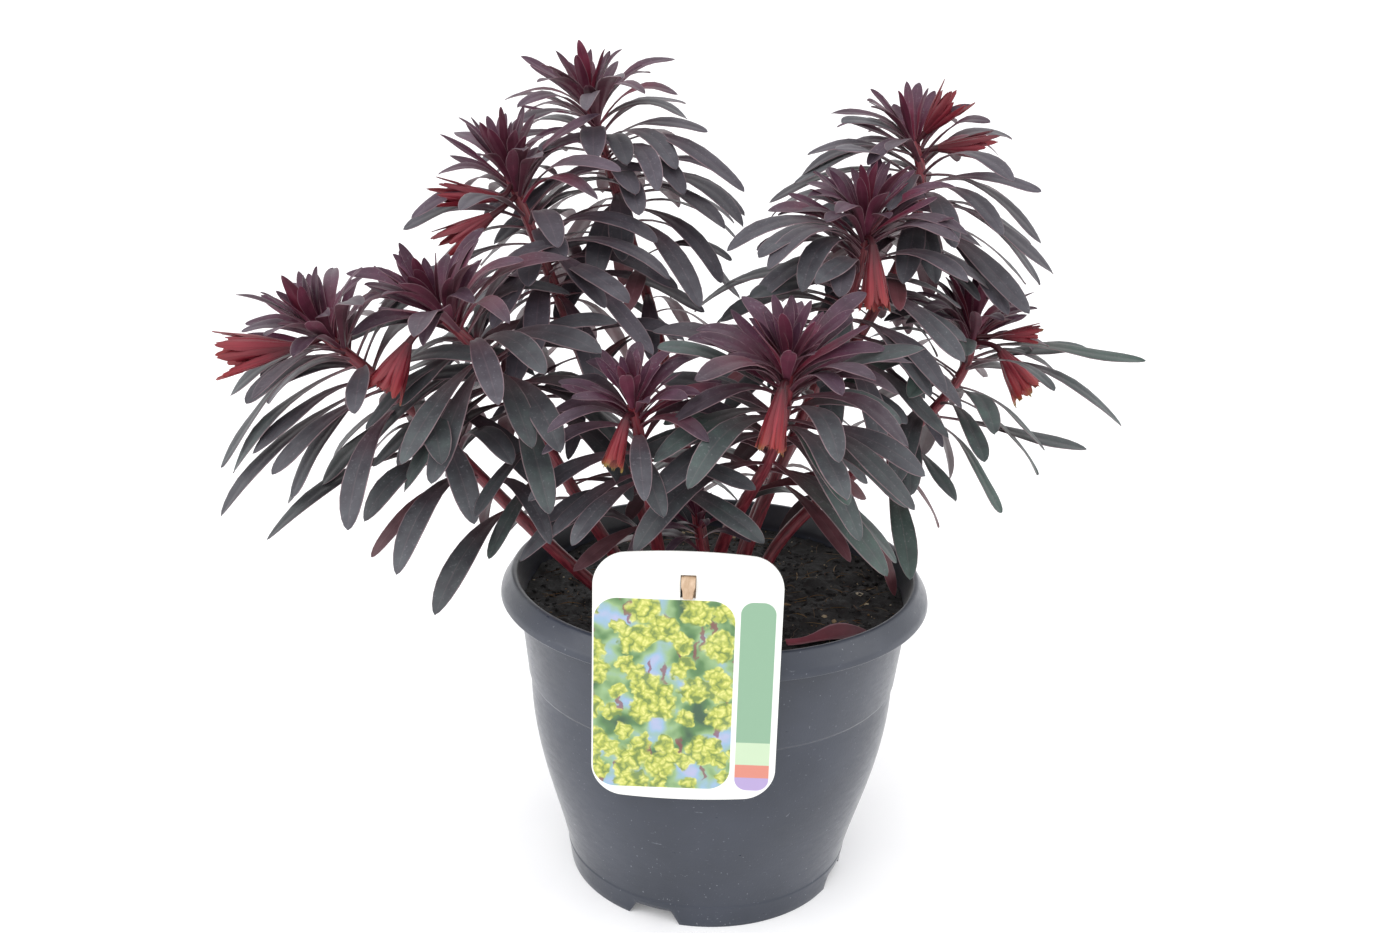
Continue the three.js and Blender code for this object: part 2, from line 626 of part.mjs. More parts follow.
function outerBlades(stem) {
  const curve = stemCurve(stem);
  const length = stemLength(curve);
  return stem.outer.map(([below, bearing, rise, reach, droop]) => ({
    root: curve.getPoint(1 - below / length),
    axis: UP,
    side: BACK,
    turn: THREE.MathUtils.degToRad(bearing),
    rise: THREE.MathUtils.degToRad(rise),
    length: reach,
    droop,
    width: OUTER_LEAF_WIDTH,
    roll: 0,
    sway: 0,
    petiole: OUTER_LEAF_PETIOLE,
    outward: 0,
    stations: LONG_STATIONS,
    level: 0,
  }));
}

// The blade as it grows in one of the ways round its neighbours.
function aimBlade(leaf, [turned, drooped, shortened]) {
  const turn = leaf.turn + THREE.MathUtils.degToRad(turned);
  const other = leaf.axis.clone().cross(leaf.side);
  const out = leaf.side.clone().multiplyScalar(Math.cos(turn)).addScaledVector(other, Math.sin(turn));
  const across = leaf.axis.clone().cross(out);
  const heading = out.clone().multiplyScalar(Math.cos(leaf.rise));
  heading.addScaledVector(leaf.axis, Math.sin(leaf.rise));
  const bend = UP.clone().negate().lerp(out.clone().sub(leaf.axis), leaf.outward);
  bend.addScaledVector(across, leaf.sway).normalize();
  const droop = Math.max(0, leaf.droop + drooped);
  return { ...leaf, heading, across, bend, droop, length: leaf.length * shortened };
}

// Triangles and edges of a body with their boxes, ready to be tested against another body.
function facetsOf(geometry, owner) {
  const source = geometry.index ? geometry : mergeVertices(geometry, 1e-4);
  const { array } = source.index;
  const corner = (i) => new THREE.Vector3().fromBufferAttribute(source.attributes.position, array[i]);
  const triangles = [];
  const edges = [];
  const box = new THREE.Box3();
  for (let i = 0; i < array.length; i += 3) {
    const [a, b, c] = [corner(i), corner(i + 1), corner(i + 2)];
    const around = new THREE.Box3().setFromPoints([a, b, c]);
    box.union(around);
    triangles.push({ a, b, c, around });
    [[a, b, 0], [b, c, 1], [c, a, 2]].forEach(([from, to, k]) => {
      const forward = array[i + k] < array[i + ((k + 1) % 3)];
      if (forward) edges.push({ from, to, around: new THREE.Box3().setFromPoints([from, to]) });
    });
  }
  return { owner, box, triangles, edges };
}

const probe = new THREE.Ray();
const found = new THREE.Vector3();

function edgesCut(edges, other) {
  return edges.some((edge) => {
    if (!edge.around.intersectsBox(other.box)) return false;
    const reach = edge.from.distanceTo(edge.to);
    probe.origin.copy(edge.from);
    probe.direction.subVectors(edge.to, edge.from).normalize();
    return other.triangles.some(({ a, b, c, around }) => around.intersectsBox(edge.around)
      && probe.intersectTriangle(a, b, c, false, found)
      && found.distanceTo(edge.from) <= reach);
  });
}

function isClear(body, obstacles) {
  return obstacles.every((other) => other.owner === body.owner
    || !other.box.intersectsBox(body.box)
    || !(edgesCut(body.edges, other) || edgesCut(other.edges, body)));
}

// Gives every leaf its way round its neighbours, zone by zone, so that no stem takes all the room. A leaf
// keeps clear of every other body, and where it can its free part also keeps clear of its own stem's leaves.
function growLeaves(stems, obstacles) {
  const grown = stems.map(() => []);
  const waiting = stems.map(stemBlades);
  for (let level = 0; level <= ZONES.length; level += 1) {
    stems.forEach((stem, number) => {
      waiting[number].filter((leaf) => leaf.level === level).forEach((leaf) => {
        const blade = findWay(leaf, stem.name, obstacles, grown[number]);
        if (!blade) return;
        const body = loft(bladeRings(blade, 0));
        grown[number].push({ body, free: freePart(blade) });
        obstacles.push(facetsOf(body, stem.name));
      });
    });
  }
  return grown.map((leaves) => leaves.map((leaf) => leaf.body));
}

function freePart(blade) {
  return facetsOf(loft(bladeRings(blade, 0).slice(1)), null);
}

function findWay(leaf, owner, obstacles, siblings) {
  let crossing = null;
  for (const way of WAYS_ROUND) {
    const blade = aimBlade(leaf, way);
    if (isClear(facetsOf(loft(bladeRings(blade, LEAF_ROOM)), owner), obstacles)) {
      const free = { ...freePart(blade), owner };
      if (isClear(free, siblings.map((one) => one.free))) return blade;
      crossing ??= blade;
    }
  }
  return crossing;
}

// A bud: a stalk and a fluted bell of pointed bracts in one body. Every other corner of a ring is the
// middle of a bract, and the bracts' tips reach past the hollows between them.
function budRings(stem, bud) {
  const curve = stemCurve(stem);
  const root = curve.getPoint(1 - bud.below / stemLength(curve));
  const [neck, tip] = [vector(bud.neck), vector(bud.tip)];
  const aim = tip.clone().sub(neck);
  const length = aim.length();
  const waistAt = length * BELL_WAIST.at;
  const { mouth } = bud;
  aim.normalize();
  const bend = neck.clone().addScaledVector(aim, -0.35 * neck.distanceTo(root));
  const stalk = new THREE.QuadraticBezierCurve3(root, bend, neck);
  const side = BACK.clone().addScaledVector(aim, -aim.y).normalize();
  const other = aim.clone().cross(side);
  const ring = (centre, ridge, hollow, ridgeOn, hollowOn) => (
    Array.from({ length: 2 * BELL_BRACTS }, (_, k) => {
      const angle = (k * Math.PI) / BELL_BRACTS;
      const onRidge = k % 2 === 0;
      const radius = onRidge ? ridge : hollow;
      return centre.clone().addScaledVector(aim, onRidge ? ridgeOn : hollowOn)
        .addScaledVector(side, radius * Math.cos(angle)).addScaledVector(other, radius * Math.sin(angle));
    }));
  return [
    ring(stalk.getPoint(0), STALK_RADIUS, STALK_RADIUS, 0, 0),
    ring(stalk.getPoint(0.55), STALK_RADIUS, STALK_RADIUS, 0, 0),
    ring(neck, BELL_NECK_RADIUS, BELL_NECK_RADIUS * 0.9, 0, 0),
    ring(neck, mouth * BELL_WAIST.ridge, mouth * BELL_WAIST.hollow, waistAt, waistAt),
    ring(neck, mouth, mouth * BELL_MOUTH.hollow, length, length * BELL_MOUTH.hollowAt),
    [neck.clone().addScaledVector(aim, length * BELL_HEART_AT)],
  ];
}

function makeBud(stem, bud) {
  const reach = toSolid(loft(stemRings(stem, SEAT_GAP)));
  const solid = toSolid(loft(budRings(stem, bud))).subtract(reach);
  return keepMainBody(toGeometry(solid));
}

function heightOn(body, x, y) {
  probe.origin.set(x, y, 2 * POT_HEIGHT);
  probe.direction.set(0, 0, -1);
  const heights = body.triangles
    .filter(({ a, b, c }) => probe.intersectTriangle(a, b, c, false, found))
    .map(({ a, b, c }) => probe.intersectTriangle(a, b, c, false, found).z);
  return Math.max(...heights);
}

// The dry leaf: its keel follows the soil and its edges curl up.
function makeFallenLeaf(ground) {
  const [from, to] = [new THREE.Vector2(...FALLEN_LEAF_FROM), new THREE.Vector2(...FALLEN_LEAF_TO)];
  const heading = to.clone().sub(from).normalize();
  const rings = FALLEN_LEAF_STATIONS.map((share) => {
    const spot = from.clone().lerp(to, share);
    const half = (FALLEN_LEAF_WIDTH * widthShare(Math.min(share, FALLEN_LEAF_TIP), FALLEN_LEAF_PETIOLE)) / 2;
    const low = heightOn(ground, spot.x, spot.y) + SEAT_GAP;
    const edge = (side, lift) => new THREE.Vector3(
      spot.x - side * heading.y * half,
      spot.y + side * heading.x * half,
      low + FALLEN_LEAF_DEPTH + lift * half,
    );
    return [edge(1, 0.5), edge(-1, 0.25), new THREE.Vector3(spot.x, spot.y, low)];
  });
  return loft(rings);
}

const MATERIALS = {
  pot: new THREE.MeshStandardMaterial({ color: '#3b444d', roughness: 0.55, metalness: 0 }),
  soil: new THREE.MeshStandardMaterial({ color: '#2a211d', roughness: 1, metalness: 0 }),
  card: new THREE.MeshStandardMaterial({ color: '#eef0ec', roughness: 0.35, metalness: 0 }),
  pin: new THREE.MeshStandardMaterial({ color: '#c3a98a', roughness: 0.5, metalness: 0 }),
  leaf: new THREE.MeshStandardMaterial({ color: '#4b3a44', roughness: 0.5, metalness: 0 }),
  bud: new THREE.MeshStandardMaterial({ color: '#a8352f', roughness: 0.5, metalness: 0 }),
  dryLeaf: new THREE.MeshStandardMaterial({ color: '#6e3a33', roughness: 0.8, metalness: 0 }),
};

function named(name, geometry, material) {
  const mesh = new THREE.Mesh(geometry, material.clone());
  mesh.name = name;
  return mesh;
}

STEMS.forEach((stem, i) => {
  stem.name = `leafy_stem_${i + 1}`;
});
SHOOTS.forEach((shoot, i) => {
  shoot.name = `basal_shoot_${i + 1}`;
});
const GROWN = [...STEMS, ...SHOOTS];
const shafts = GROWN.map((stem) => loft(stemRings(stem, 0)));
const holes = GROWN.map((stem) => loft(stemRings(stem, SEAT_GAP)));
const buds = STEMS.flatMap((stem) => stem.buds.map((bud) => makeBud(stem, bud)));

const pot = makePot();
const soil = makeSoil([...holes, loft(pinRings(SEAT_GAP))]);
const card = makeCard();
const pin = loft(pinRings(0));
const fallenLeaf = makeFallenLeaf(facetsOf(soil, 'soil'));

const fixed = [
  facetsOf(pot, 'pot'),
  facetsOf(soil, 'soil'),
  facetsOf(card, 'label'),
  facetsOf(pin, 'label_pin'),
  facetsOf(fallenLeaf, 'fallen_leaf'),
  ...buds.map((bud, i) => facetsOf(bud, `bud_${i + 1}`)),
  ...GROWN.map((stem, i) => facetsOf(shafts[i], stem.name)),
];
const leaves = growLeaves(GROWN, fixed);

const plant = new THREE.Group();
plant.add(named('pot', pot, MATERIALS.pot));
plant.add(named('soil', soil, MATERIALS.soil));
plant.add(named('label', card, MATERIALS.card));
plant.add(named('label_pin', pin, MATERIALS.pin));
plant.add(named('fallen_leaf', fallenLeaf, MATERIALS.dryLeaf));
GROWN.forEach((stem, i) => {
  const body = keepMainBody(toGeometry(join([shafts[i], ...leaves[i]])));
  plant.add(named(stem.name, body, MATERIALS.leaf));
});
buds.forEach((bud, i) => {
  plant.add(named(`bud_${i + 1}`, bud, MATERIALS.bud));
});

export default plant;
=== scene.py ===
# %% [markdown]
# A potted spurge, dressed for its portrait. The frame holds the plain solids that were measured. This lesson
# puts the fine surfaces over them: every leaf with its rib and pale margin, bells of overlapping bracts, a
# moulded pot, crumbly compost and a printed card. Every piece stays where its solid is.

# %% Load the frame
import bpy
import numpy as np
from mathutils import Matrix, Vector


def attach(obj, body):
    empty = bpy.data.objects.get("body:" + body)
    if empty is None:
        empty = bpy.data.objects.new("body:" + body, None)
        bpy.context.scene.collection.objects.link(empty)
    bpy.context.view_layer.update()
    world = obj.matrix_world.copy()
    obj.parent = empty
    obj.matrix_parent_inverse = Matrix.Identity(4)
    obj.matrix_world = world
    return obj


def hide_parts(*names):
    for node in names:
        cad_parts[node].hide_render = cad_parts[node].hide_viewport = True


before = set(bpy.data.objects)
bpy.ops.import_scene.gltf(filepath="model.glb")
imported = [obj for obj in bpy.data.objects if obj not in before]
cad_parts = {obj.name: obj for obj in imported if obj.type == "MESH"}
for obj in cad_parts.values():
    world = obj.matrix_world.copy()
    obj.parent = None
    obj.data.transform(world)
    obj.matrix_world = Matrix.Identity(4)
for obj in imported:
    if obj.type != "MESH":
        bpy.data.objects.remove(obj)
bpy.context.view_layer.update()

MM = 0.001
print("frame:", len(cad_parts), "solids")

# %% [markdown]
# The camera comes first, because everything is judged through it. It looks down on the pot from the front
# with an ordinary lens. Its place and its three angles could be found by trying, but each change would move
# every piece in the picture. They were worked out once, from the pot's rim and foot.

# %% Camera
CAMERA_PLACE = (0.0, -583.65, 384.55)
CAMERA_PITCH = 18.307
CAMERA_YAW = -0.798
CAMERA_ROLL = 1.754
LENS = 36.0


def camera_axes(pitch, yaw, roll):
    """Right, up and backwards. Forwards is (sin yaw cos pitch, cos yaw cos pitch, -sin pitch), right is level
    with the floor, up is right x forwards, and the roll turns right and up about forwards."""
    pitch, yaw, roll = np.radians([pitch, yaw, roll])
    forwards = np.array([np.sin(yaw) * np.cos(pitch), np.cos(yaw) * np.cos(pitch), -np.sin(pitch)])
    level = np.array([np.cos(yaw), -np.sin(yaw), 0])
    upright = np.cross(level, forwards)
    right = np.cos(roll) * level + np.sin(roll) * upright
    up = np.cos(roll) * upright - np.sin(roll) * level
    return right, up, -forwards


camera_data = bpy.data.cameras.new("portrait_camera")
camera_data.lens = LENS
camera_data.sensor_width = 36.0
camera_data.clip_start = 0.01
camera = bpy.data.objects.new("portrait_camera", camera_data)
bpy.context.scene.collection.objects.link(camera)
turned = np.eye(4)
turned[:3, :3] = np.column_stack(camera_axes(CAMERA_PITCH, CAMERA_YAW, CAMERA_ROLL))
turned[:3, 3] = np.array(CAMERA_PLACE) * MM
camera.matrix_world = Matrix(turned.tolist())
bpy.context.scene.camera = camera
print("camera at", [round(c, 4) for c in camera.location])

# %% [markdown]
# Nearly every surface here is a sheet with two faces, such as a leaf, a bract or a card, or a tube, such as a
# stem. They could be drawn by hand and bent by modifiers, but there are about a thousand of them. So both are
# grids of points worked out as whole arrays. A shape is its points in millimetres, its faces and the values
# that its material reads, and many shapes become one mesh.

# %% Shapes
ON_BACK = np.array([0, 0, 1])


def grid_index(shape):
    """The number of each point of a grid, in the grid's own layout."""
    return np.arange(np.prod(shape)).reshape(shape)


def sheet(front, back, **values):
    """Thick sheets from two grids (sheets, along, across, xyz). The front's normal is along x across. Quads
    cover both faces, and four rims join them."""
    count, rows, columns = front.shape[:3]
    index = grid_index((count, 2, rows, columns))
    f, b = index[:, 0], index[:, 1]
    quads = [
        [f[:, :-1, :-1], f[:, 1:, :-1], f[:, 1:, 1:], f[:, :-1, 1:]],
        [b[:, :-1, :-1], b[:, :-1, 1:], b[:, 1:, 1:], b[:, 1:, :-1]],
        [f[:, :-1, 0], b[:, :-1, 0], b[:, 1:, 0], f[:, 1:, 0]],
        [f[:, :-1, -1], f[:, 1:, -1], b[:, 1:, -1], b[:, :-1, -1]],
        [f[:, 0, :-1], f[:, 0, 1:], b[:, 0, 1:], b[:, 0, :-1]],
        [f[:, -1, :-1], b[:, -1, :-1], b[:, -1, 1:], f[:, -1, 1:]],
    ]
    points = np.stack([front, back], axis=1).reshape(-1, 3)
    faces = np.concatenate([np.stack(q, axis=-1).reshape(-1, 4) for q in quads])
    return {"points": points, "quads": faces, "triangles": np.zeros((0, 3), int), "values": values}


def tube(rings, **values):
    """Closed tubes from rings (tubes, along, around, xyz) that turn anticlockwise seen from ahead. A fan
    round each end's middle closes it."""
    count, rows, around = rings.shape[:3]
    index = grid_index((count, rows, around))
    onward = np.roll(index, -1, axis=2)
    quads = np.stack([index[:, :-1], onward[:, :-1], onward[:, 1:], index[:, 1:]], axis=-1).reshape(-1, 4)
    middles = np.stack([rings[:, 0].mean(1), rings[:, -1].mean(1)], axis=1).reshape(-1, 3)
    first = count * rows * around + 2 * np.arange(count)[:, None] + np.zeros((1, around), int)
    fans = [
        np.stack([first, onward[:, 0], index[:, 0]], axis=-1).reshape(-1, 3),
        np.stack([first + 1, index[:, -1], onward[:, -1]], axis=-1).reshape(-1, 3),
    ]
    points = np.concatenate([rings.reshape(-1, 3), middles])
    return {"points": points, "quads": quads, "triangles": np.concatenate(fans), "values": values}


def together(shapes):
    """Several shapes as one. Their faces count on from the points before them."""
    starts = np.cumsum([0] + [len(s["points"]) for s in shapes[:-1]])
    joined = {"points": np.concatenate([s["points"] for s in shapes])}
    for kind in ("quads", "triangles"):
        joined[kind] = np.concatenate([s[kind] + start for s, start in zip(shapes, starts)])
    names = shapes[0]["values"]
    joined["values"] = {n: np.concatenate([s["values"][n] for s in shapes]) for n in names}
    return joined


# %% [markdown]
# A shape becomes a mesh, and the mesh becomes a piece of the scene. The piece rides on the frame and stands
# for the solids that it hides. Its object stays at the origin, as a frame solid's does, and its place is in
# its mesh. Edges sharper than 50 degrees stay sharp, and all others are shaded smooth.

# %% From a shape to a piece
SHARP_EDGE = 50.0


def to_mesh(name, shape):
    """A mesh of the shape, in metres, with its values as vectors on its points."""
    mesh = bpy.data.meshes.new(name)
    quads, triangles = shape["quads"], shape["triangles"]
    corners = np.concatenate([quads.ravel(), triangles.ravel()]).astype(np.int32)
    sizes = np.concatenate([np.full(len(quads), 4), np.full(len(triangles), 3)])
    mesh.vertices.add(len(shape["points"]))
    mesh.vertices.foreach_set("co", (shape["points"] * MM).astype(np.float32).ravel())
    mesh.loops.add(len(corners))
    mesh.loops.foreach_set("vertex_index", corners)
    mesh.polygons.add(len(sizes))
    mesh.polygons.foreach_set("loop_start", (np.cumsum(sizes) - sizes).astype(np.int32))
    mesh.update(calc_edges=True)
    for value, vectors in shape["values"].items():
        attribute = mesh.attributes.new(value, "FLOAT_VECTOR", "POINT")
        attribute.data.foreach_set("vector", vectors.astype(np.float32).ravel())
    mesh.shade_smooth()
    mesh.set_sharp_from_angle(angle=np.radians(SHARP_EDGE))
    return mesh


def place(name, mesh, material, slot, *nodes):
    """Puts the mesh in the scene as a piece that rides on the frame and stands for the named solids."""
    mesh.materials.append(material)
    piece = bpy.data.objects.new(name, mesh)
    bpy.context.scene.collection.objects.link(piece)
    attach(piece, "root")
    if nodes:
        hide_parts(*nodes)
    print(f"{name}: {sum(len(p.vertices) - 2 for p in mesh.polygons)} triangles")
    return piece


def cut_out(piece, cutters):
    """Cuts closed shapes out of a piece with a Boolean modifier, which is applied."""
    tool = bpy.data.objects.new("cutter", to_mesh("cutter", cutters))
    bpy.context.scene.collection.objects.link(tool)
    modifier = piece.modifiers.new("cut", "BOOLEAN")
    modifier.operation = "DIFFERENCE"
    modifier.solver = "EXACT"
    modifier.object = tool
    seen = bpy.context.evaluated_depsgraph_get()
    cut = bpy.data.meshes.new_from_object(piece.evaluated_get(seen))
    piece.modifiers.clear()
    piece.data = cut
    bpy.data.objects.remove(tool)


# %% [markdown]
# Each finish is a small tree of nodes. A picture wrapped round a piece would be quicker to make, but it blurs
# from near by and shows its seams, so every pattern is worked out instead. Colours are written as the hex
# values that one reads on a screen and turned to the linear values that light needs. A pattern's size is a
# real one, in millimetres.

# %% Colours and nodes
def linear(colour):
    """The linear value of a hex colour: each channel c becomes ((c + 0.055) / 1.055) ** 2.4, or c / 12.92
    where it is very dark."""
    channels = np.array([int(colour[i:i + 2], 16) for i in (1, 3, 5)]) / 255
    low, high = channels / 12.92, ((channels + 0.055) / 1.055) ** 2.4
    return (*np.where(channels <= 0.04045, low, high).tolist(), 1.0)


def per_metre(size):
    """How many patterns of this size in millimetres fit in a metre, which is a texture's scale."""
    return 1 / (size * MM)


def add(tree, kind, inputs=None, stops=None, **settings):
    """Adds a node and gives its outputs. Settings are its properties, and each input takes a value or is
    linked to the output that it is given. Stops fill a colour ramp, the two ends first."""
    node = tree.nodes.new("ShaderNode" + kind)
    for name, value in settings.items():
        setattr(node, name, value)
    for i, (at, colour) in enumerate(stops or []):
        element = node.color_ramp.elements[i] if i < 2 else node.color_ramp.elements.new(at)
        element.position = at
        element.color = linear(colour)
    for name, value in (inputs or {}).items():
        if isinstance(value, bpy.types.NodeSocket):
            tree.links.new(value, node.inputs[name])
        else:
            node.inputs[name].default_value = value
    return node.outputs


# The Mix node shares its sockets' names between numbers and colours, so they go by their places.
FACTOR, MIX_A, MIX_B, MIX_OUT = 0, 6, 7, 2
COLOURS = {"data_type": "RGBA"}
SMOOTH = {"interpolation_type": "SMOOTHSTEP"}


def new_finish(name):
    """An empty material with its shader, ready for its nodes."""
    material = bpy.data.materials.new(name)
    material.use_nodes = True
    tree = material.node_tree
    print("finish:", name)
    return material, tree, tree.nodes["Principled BSDF"]


# %% [markdown]
# A leaf of this plant is thick and waxy. A young one is wine red, a grown one slate purple, and an old or
# shaded one dark green. The back is rusty pink, a thin pale line runs round the margin, and a fainter one
# along the rib. These colours could be painted on one leaf and copied, but then all leaves would be alike. So
# the mesh tells the material where it is: "blade" holds the place across, along and whether it is the back.
# "kind" holds the leaf's age, how green it is and its own tone, and "blush" how crimson and how rusty.

# %% Leaf finish
YOUNG_COLOURS = [(0.0, "#7c273c"), (1.0, "#412838"), (0.3, "#62273e"), (0.65, "#4d283c")]
# The grown and green ramps end lighter and greyer at the tip: painted sheen, as on a drooping tip in the
# light.
GROWN_COLOURS = [(0.0, "#78303f"), (1.0, "#4c4650"), (0.26, "#4f3540"), (0.6, "#3b333d")]
GREEN_COLOURS = [(0.0, "#70353f"), (1.0, "#42504c"), (0.26, "#443e3e"), (0.6, "#313f3b")]
YOUNG_BACK, GROWN_BACK, GREEN_BACK = linear("#582437"), linear("#5d3b44"), linear("#46504c")
LEAF_DUST, RUSTY, CRIMSON, PALE_LINE = (linear(c) for c in ("#77737a", "#5c3238", "#83263a", "#94797f"))
MOTTLE_SIZE = 6.0
SPECK_SIZE = 1.1


def leaf_finish(name, roughness):
    """Waxy leaf: each age has its own colours from the root to the tip, and the grown and green colours end
    lighter and greyer at the tip, a painted sheen. Mottling clouds the green, specks of dust grey the face,
    and the rib and the margin are paler lines."""
    material, tree, shader = new_finish(name)
    blade = add(tree, "Attribute", attribute_name="blade")["Vector"]
    kind = add(tree, "Attribute", attribute_name="kind")["Vector"]
    blush = add(tree, "Attribute", attribute_name="blush")["Vector"]
    here = add(tree, "SeparateXYZ", {"Vector": blade})
    own = add(tree, "SeparateXYZ", {"Vector": kind})
    flush = add(tree, "SeparateXYZ", {"Vector": blush})
    place_on = add(tree, "TexCoord")["Object"]
    aside = add(tree, "Math", {0: here["X"]}, operation="ABSOLUTE")[0]
    mottle = add(tree, "TexNoise", {"Vector": place_on, "Scale": per_metre(MOTTLE_SIZE), "Detail": 5.0})[0]
    specks = add(tree, "TexNoise", {"Vector": place_on, "Scale": per_metre(SPECK_SIZE), "Detail": 3.0})[0]

    young = add(tree, "ValToRGB", {"Fac": here["Y"]}, YOUNG_COLOURS)[0]
    grown = add(tree, "ValToRGB", {"Fac": here["Y"]}, GROWN_COLOURS)[0]
    green = add(tree, "ValToRGB", {"Fac": here["Y"]}, GREEN_COLOURS)[0]
    grown_up = add(tree, "MapRange", {"Value": own["X"], "From Min": 0.1, "From Max": 0.6}, **SMOOTH)[0]
    face = add(tree, "Mix", {FACTOR: grown_up, MIX_A: young, MIX_B: grown}, **COLOURS)[MIX_OUT]
    cloudy = add(tree, "MapRange", {"Value": mottle, "From Min": 0.3, "From Max": 0.7, "To Min": 0.7,
                                    "To Max": 1.15})[0]
    greenness = add(tree, "Math", {0: own["Y"], 1: cloudy}, operation="MULTIPLY", use_clamp=True)[0]
    face = add(tree, "Mix", {FACTOR: greenness, MIX_A: face, MIX_B: green}, **COLOURS)[MIX_OUT]
    dusty = add(tree, "MapRange", {"Value": specks, "From Min": 0.58, "From Max": 0.76, "To Max": 0.34},
                **SMOOTH)[0]
    face = add(tree, "Mix", {FACTOR: dusty, MIX_A: face, MIX_B: LEAF_DUST}, **COLOURS)[MIX_OUT]

    under = add(tree, "Mix", {FACTOR: grown_up, MIX_A: YOUNG_BACK, MIX_B: GROWN_BACK}, **COLOURS)[MIX_OUT]
    faintly = add(tree, "Math", {0: greenness, 1: 0.45}, operation="MULTIPLY")[0]
    under = add(tree, "Mix", {FACTOR: faintly, MIX_A: under, MIX_B: GREEN_BACK}, **COLOURS)[MIX_OUT]
    both = add(tree, "Mix", {FACTOR: here["Z"], MIX_A: face, MIX_B: under}, **COLOURS)[MIX_OUT]
    both = add(tree, "Mix", {FACTOR: flush["Y"], MIX_A: both, MIX_B: RUSTY}, **COLOURS)[MIX_OUT]
    reach = add(tree, "MapRange", {"Value": here["Y"], "From Min": 1.05, "From Max": 0.15}, **SMOOTH)[0]
    reach = add(tree, "Math", {0: reach, 1: flush["X"]}, operation="MULTIPLY")[0]
    both = add(tree, "Mix", {FACTOR: reach, MIX_A: both, MIX_B: CRIMSON}, **COLOURS)[MIX_OUT]

    rib = add(tree, "MapRange", {"Value": aside, "From Min": 0.08, "From Max": 0.01, "To Max": 0.08},
              **SMOOTH)[0]
    rim = add(tree, "MapRange", {"Value": aside, "From Min": 0.9, "From Max": 0.98, "To Max": 0.5},
              **SMOOTH)[0]
    lines = add(tree, "Math", {0: rib, 1: rim}, operation="MAXIMUM")[0]
    lined = add(tree, "Mix", {FACTOR: lines, MIX_A: both, MIX_B: PALE_LINE}, **COLOURS)[MIX_OUT]
    patches = add(tree, "MapRange", {"Value": mottle, "From Min": 0.3, "From Max": 0.7, "To Min": 0.8,
                                     "To Max": 1.25})[0]
    tone = add(tree, "MapRange", {"Value": own["Z"], "To Min": 0.8, "To Max": 1.2})[0]
    tone = add(tree, "Math", {0: tone, 1: patches}, operation="MULTIPLY")[0]
    toned = add(tree, "HueSaturation", {"Color": lined, "Value": tone})[0]
    tree.links.new(toned, shader.inputs["Base Color"])

    wax = add(tree, "MapRange", {"Value": mottle, "From Min": 0.25, "From Max": 0.75,
                                 "To Min": roughness - 0.07, "To Max": roughness + 0.1})[0]
    tree.links.new(wax, shader.inputs["Roughness"])
    relief = add(tree, "Math", {0: specks, 1: 0.25, 2: mottle}, operation="MULTIPLY_ADD")[0]
    bump = add(tree, "Bump", {"Height": relief, "Strength": 0.4, "Distance": 0.4 * MM})[0]
    tree.links.new(bump, shader.inputs["Normal"])
    shader.inputs["Specular IOR Level"].default_value = 0.26
    shader.inputs["Sheen Weight"].default_value = 0.04
    return material


WAXY_LEAF = leaf_finish("waxy spurge leaf", 0.42)
DRY_LEAF = leaf_finish("dry fallen leaf", 0.7)

# %% [markdown]
# Where each leaf grows is not free: the frame's solids already hold it. A leaf sets out from its stem at the
# golden angle after the one above it, rises, and droops more with every step. The leaves could be read off
# the solids, but a plain blade has only a few corners, and they don't tell which leaf is which. So the same
# rule, with the same seeds, is written here again, and each fine blade lies on its plain one.
#
# A zone's pairs of values are for its upper and its lower end, in millimetres and degrees. "below" is how far
# from the stem's tip it lies, and "rise" how steeply its leaves set out. "spread" is what chance adds.

# %% How the plant grows
UP = np.array([0.0, 0.0, 1.0])
BACK = np.array([0.0, 1.0, 0.0])
GOLDEN_ANGLE = np.radians(137.508)
HEADING_STEP = 0.02
LENGTH_CHORDS = 16
BARE_FOOT = 42.0

HEART_LEAVES = {"below": (1, 5), "length": (20, 33), "rise": (84, 66), "droop": (0.15, 0.4),
                "width": (5.4, 7.6), "petiole": 0.45, "outward": 0.7, "lift": 1, "stations": (0, 0.7, 1)}
CROWN_LEAVES = {"below": (5.5, 14), "length": (36, 53), "rise": (62, 28), "droop": (0.5, 0.9),
                "width": (8, 10.8), "petiole": 0.36, "outward": 0.5, "lift": 1,
                "stations": (0, 0.47, 0.86, 1)}
SKIRT_LEAVES = {"below": (15, 58), "length": (56, 68), "rise": (28, 2), "droop": (0.8, 1.6),
                "width": (11.4, 12.6), "petiole": 0.22, "outward": 0, "lift": 1,
                "stations": (0, 0.47, 0.86, 1)}
LOWER_LEAVES = {"below": (62, 112), "length": (52, 60), "rise": (24, 6), "droop": (1.0, 1.7),
                "width": (9.6, 8.4), "petiole": 0.18, "outward": 0, "lift": 0.6,
                "stations": (0, 0.47, 0.86, 1)}
ZONES = [HEART_LEAVES, CROWN_LEAVES, SKIRT_LEAVES, LOWER_LEAVES]
ZONE_AGES = [(0.0, 0.12), (0.2, 0.42), (0.5, 0.85), (0.85, 1.0)]
OUTER_STATIONS = (0, 0.32, 0.62, 0.88, 1)
OUTER_WIDTH = 12.0
OUTER_PETIOLE = 0.2
OUTER_AGE = 0.72
SPREAD = {"turn": 0.2, "rise": 8, "length": 0.13, "droop": 0.25, "width": 0.1, "roll": 0.5, "sway": 0.25}
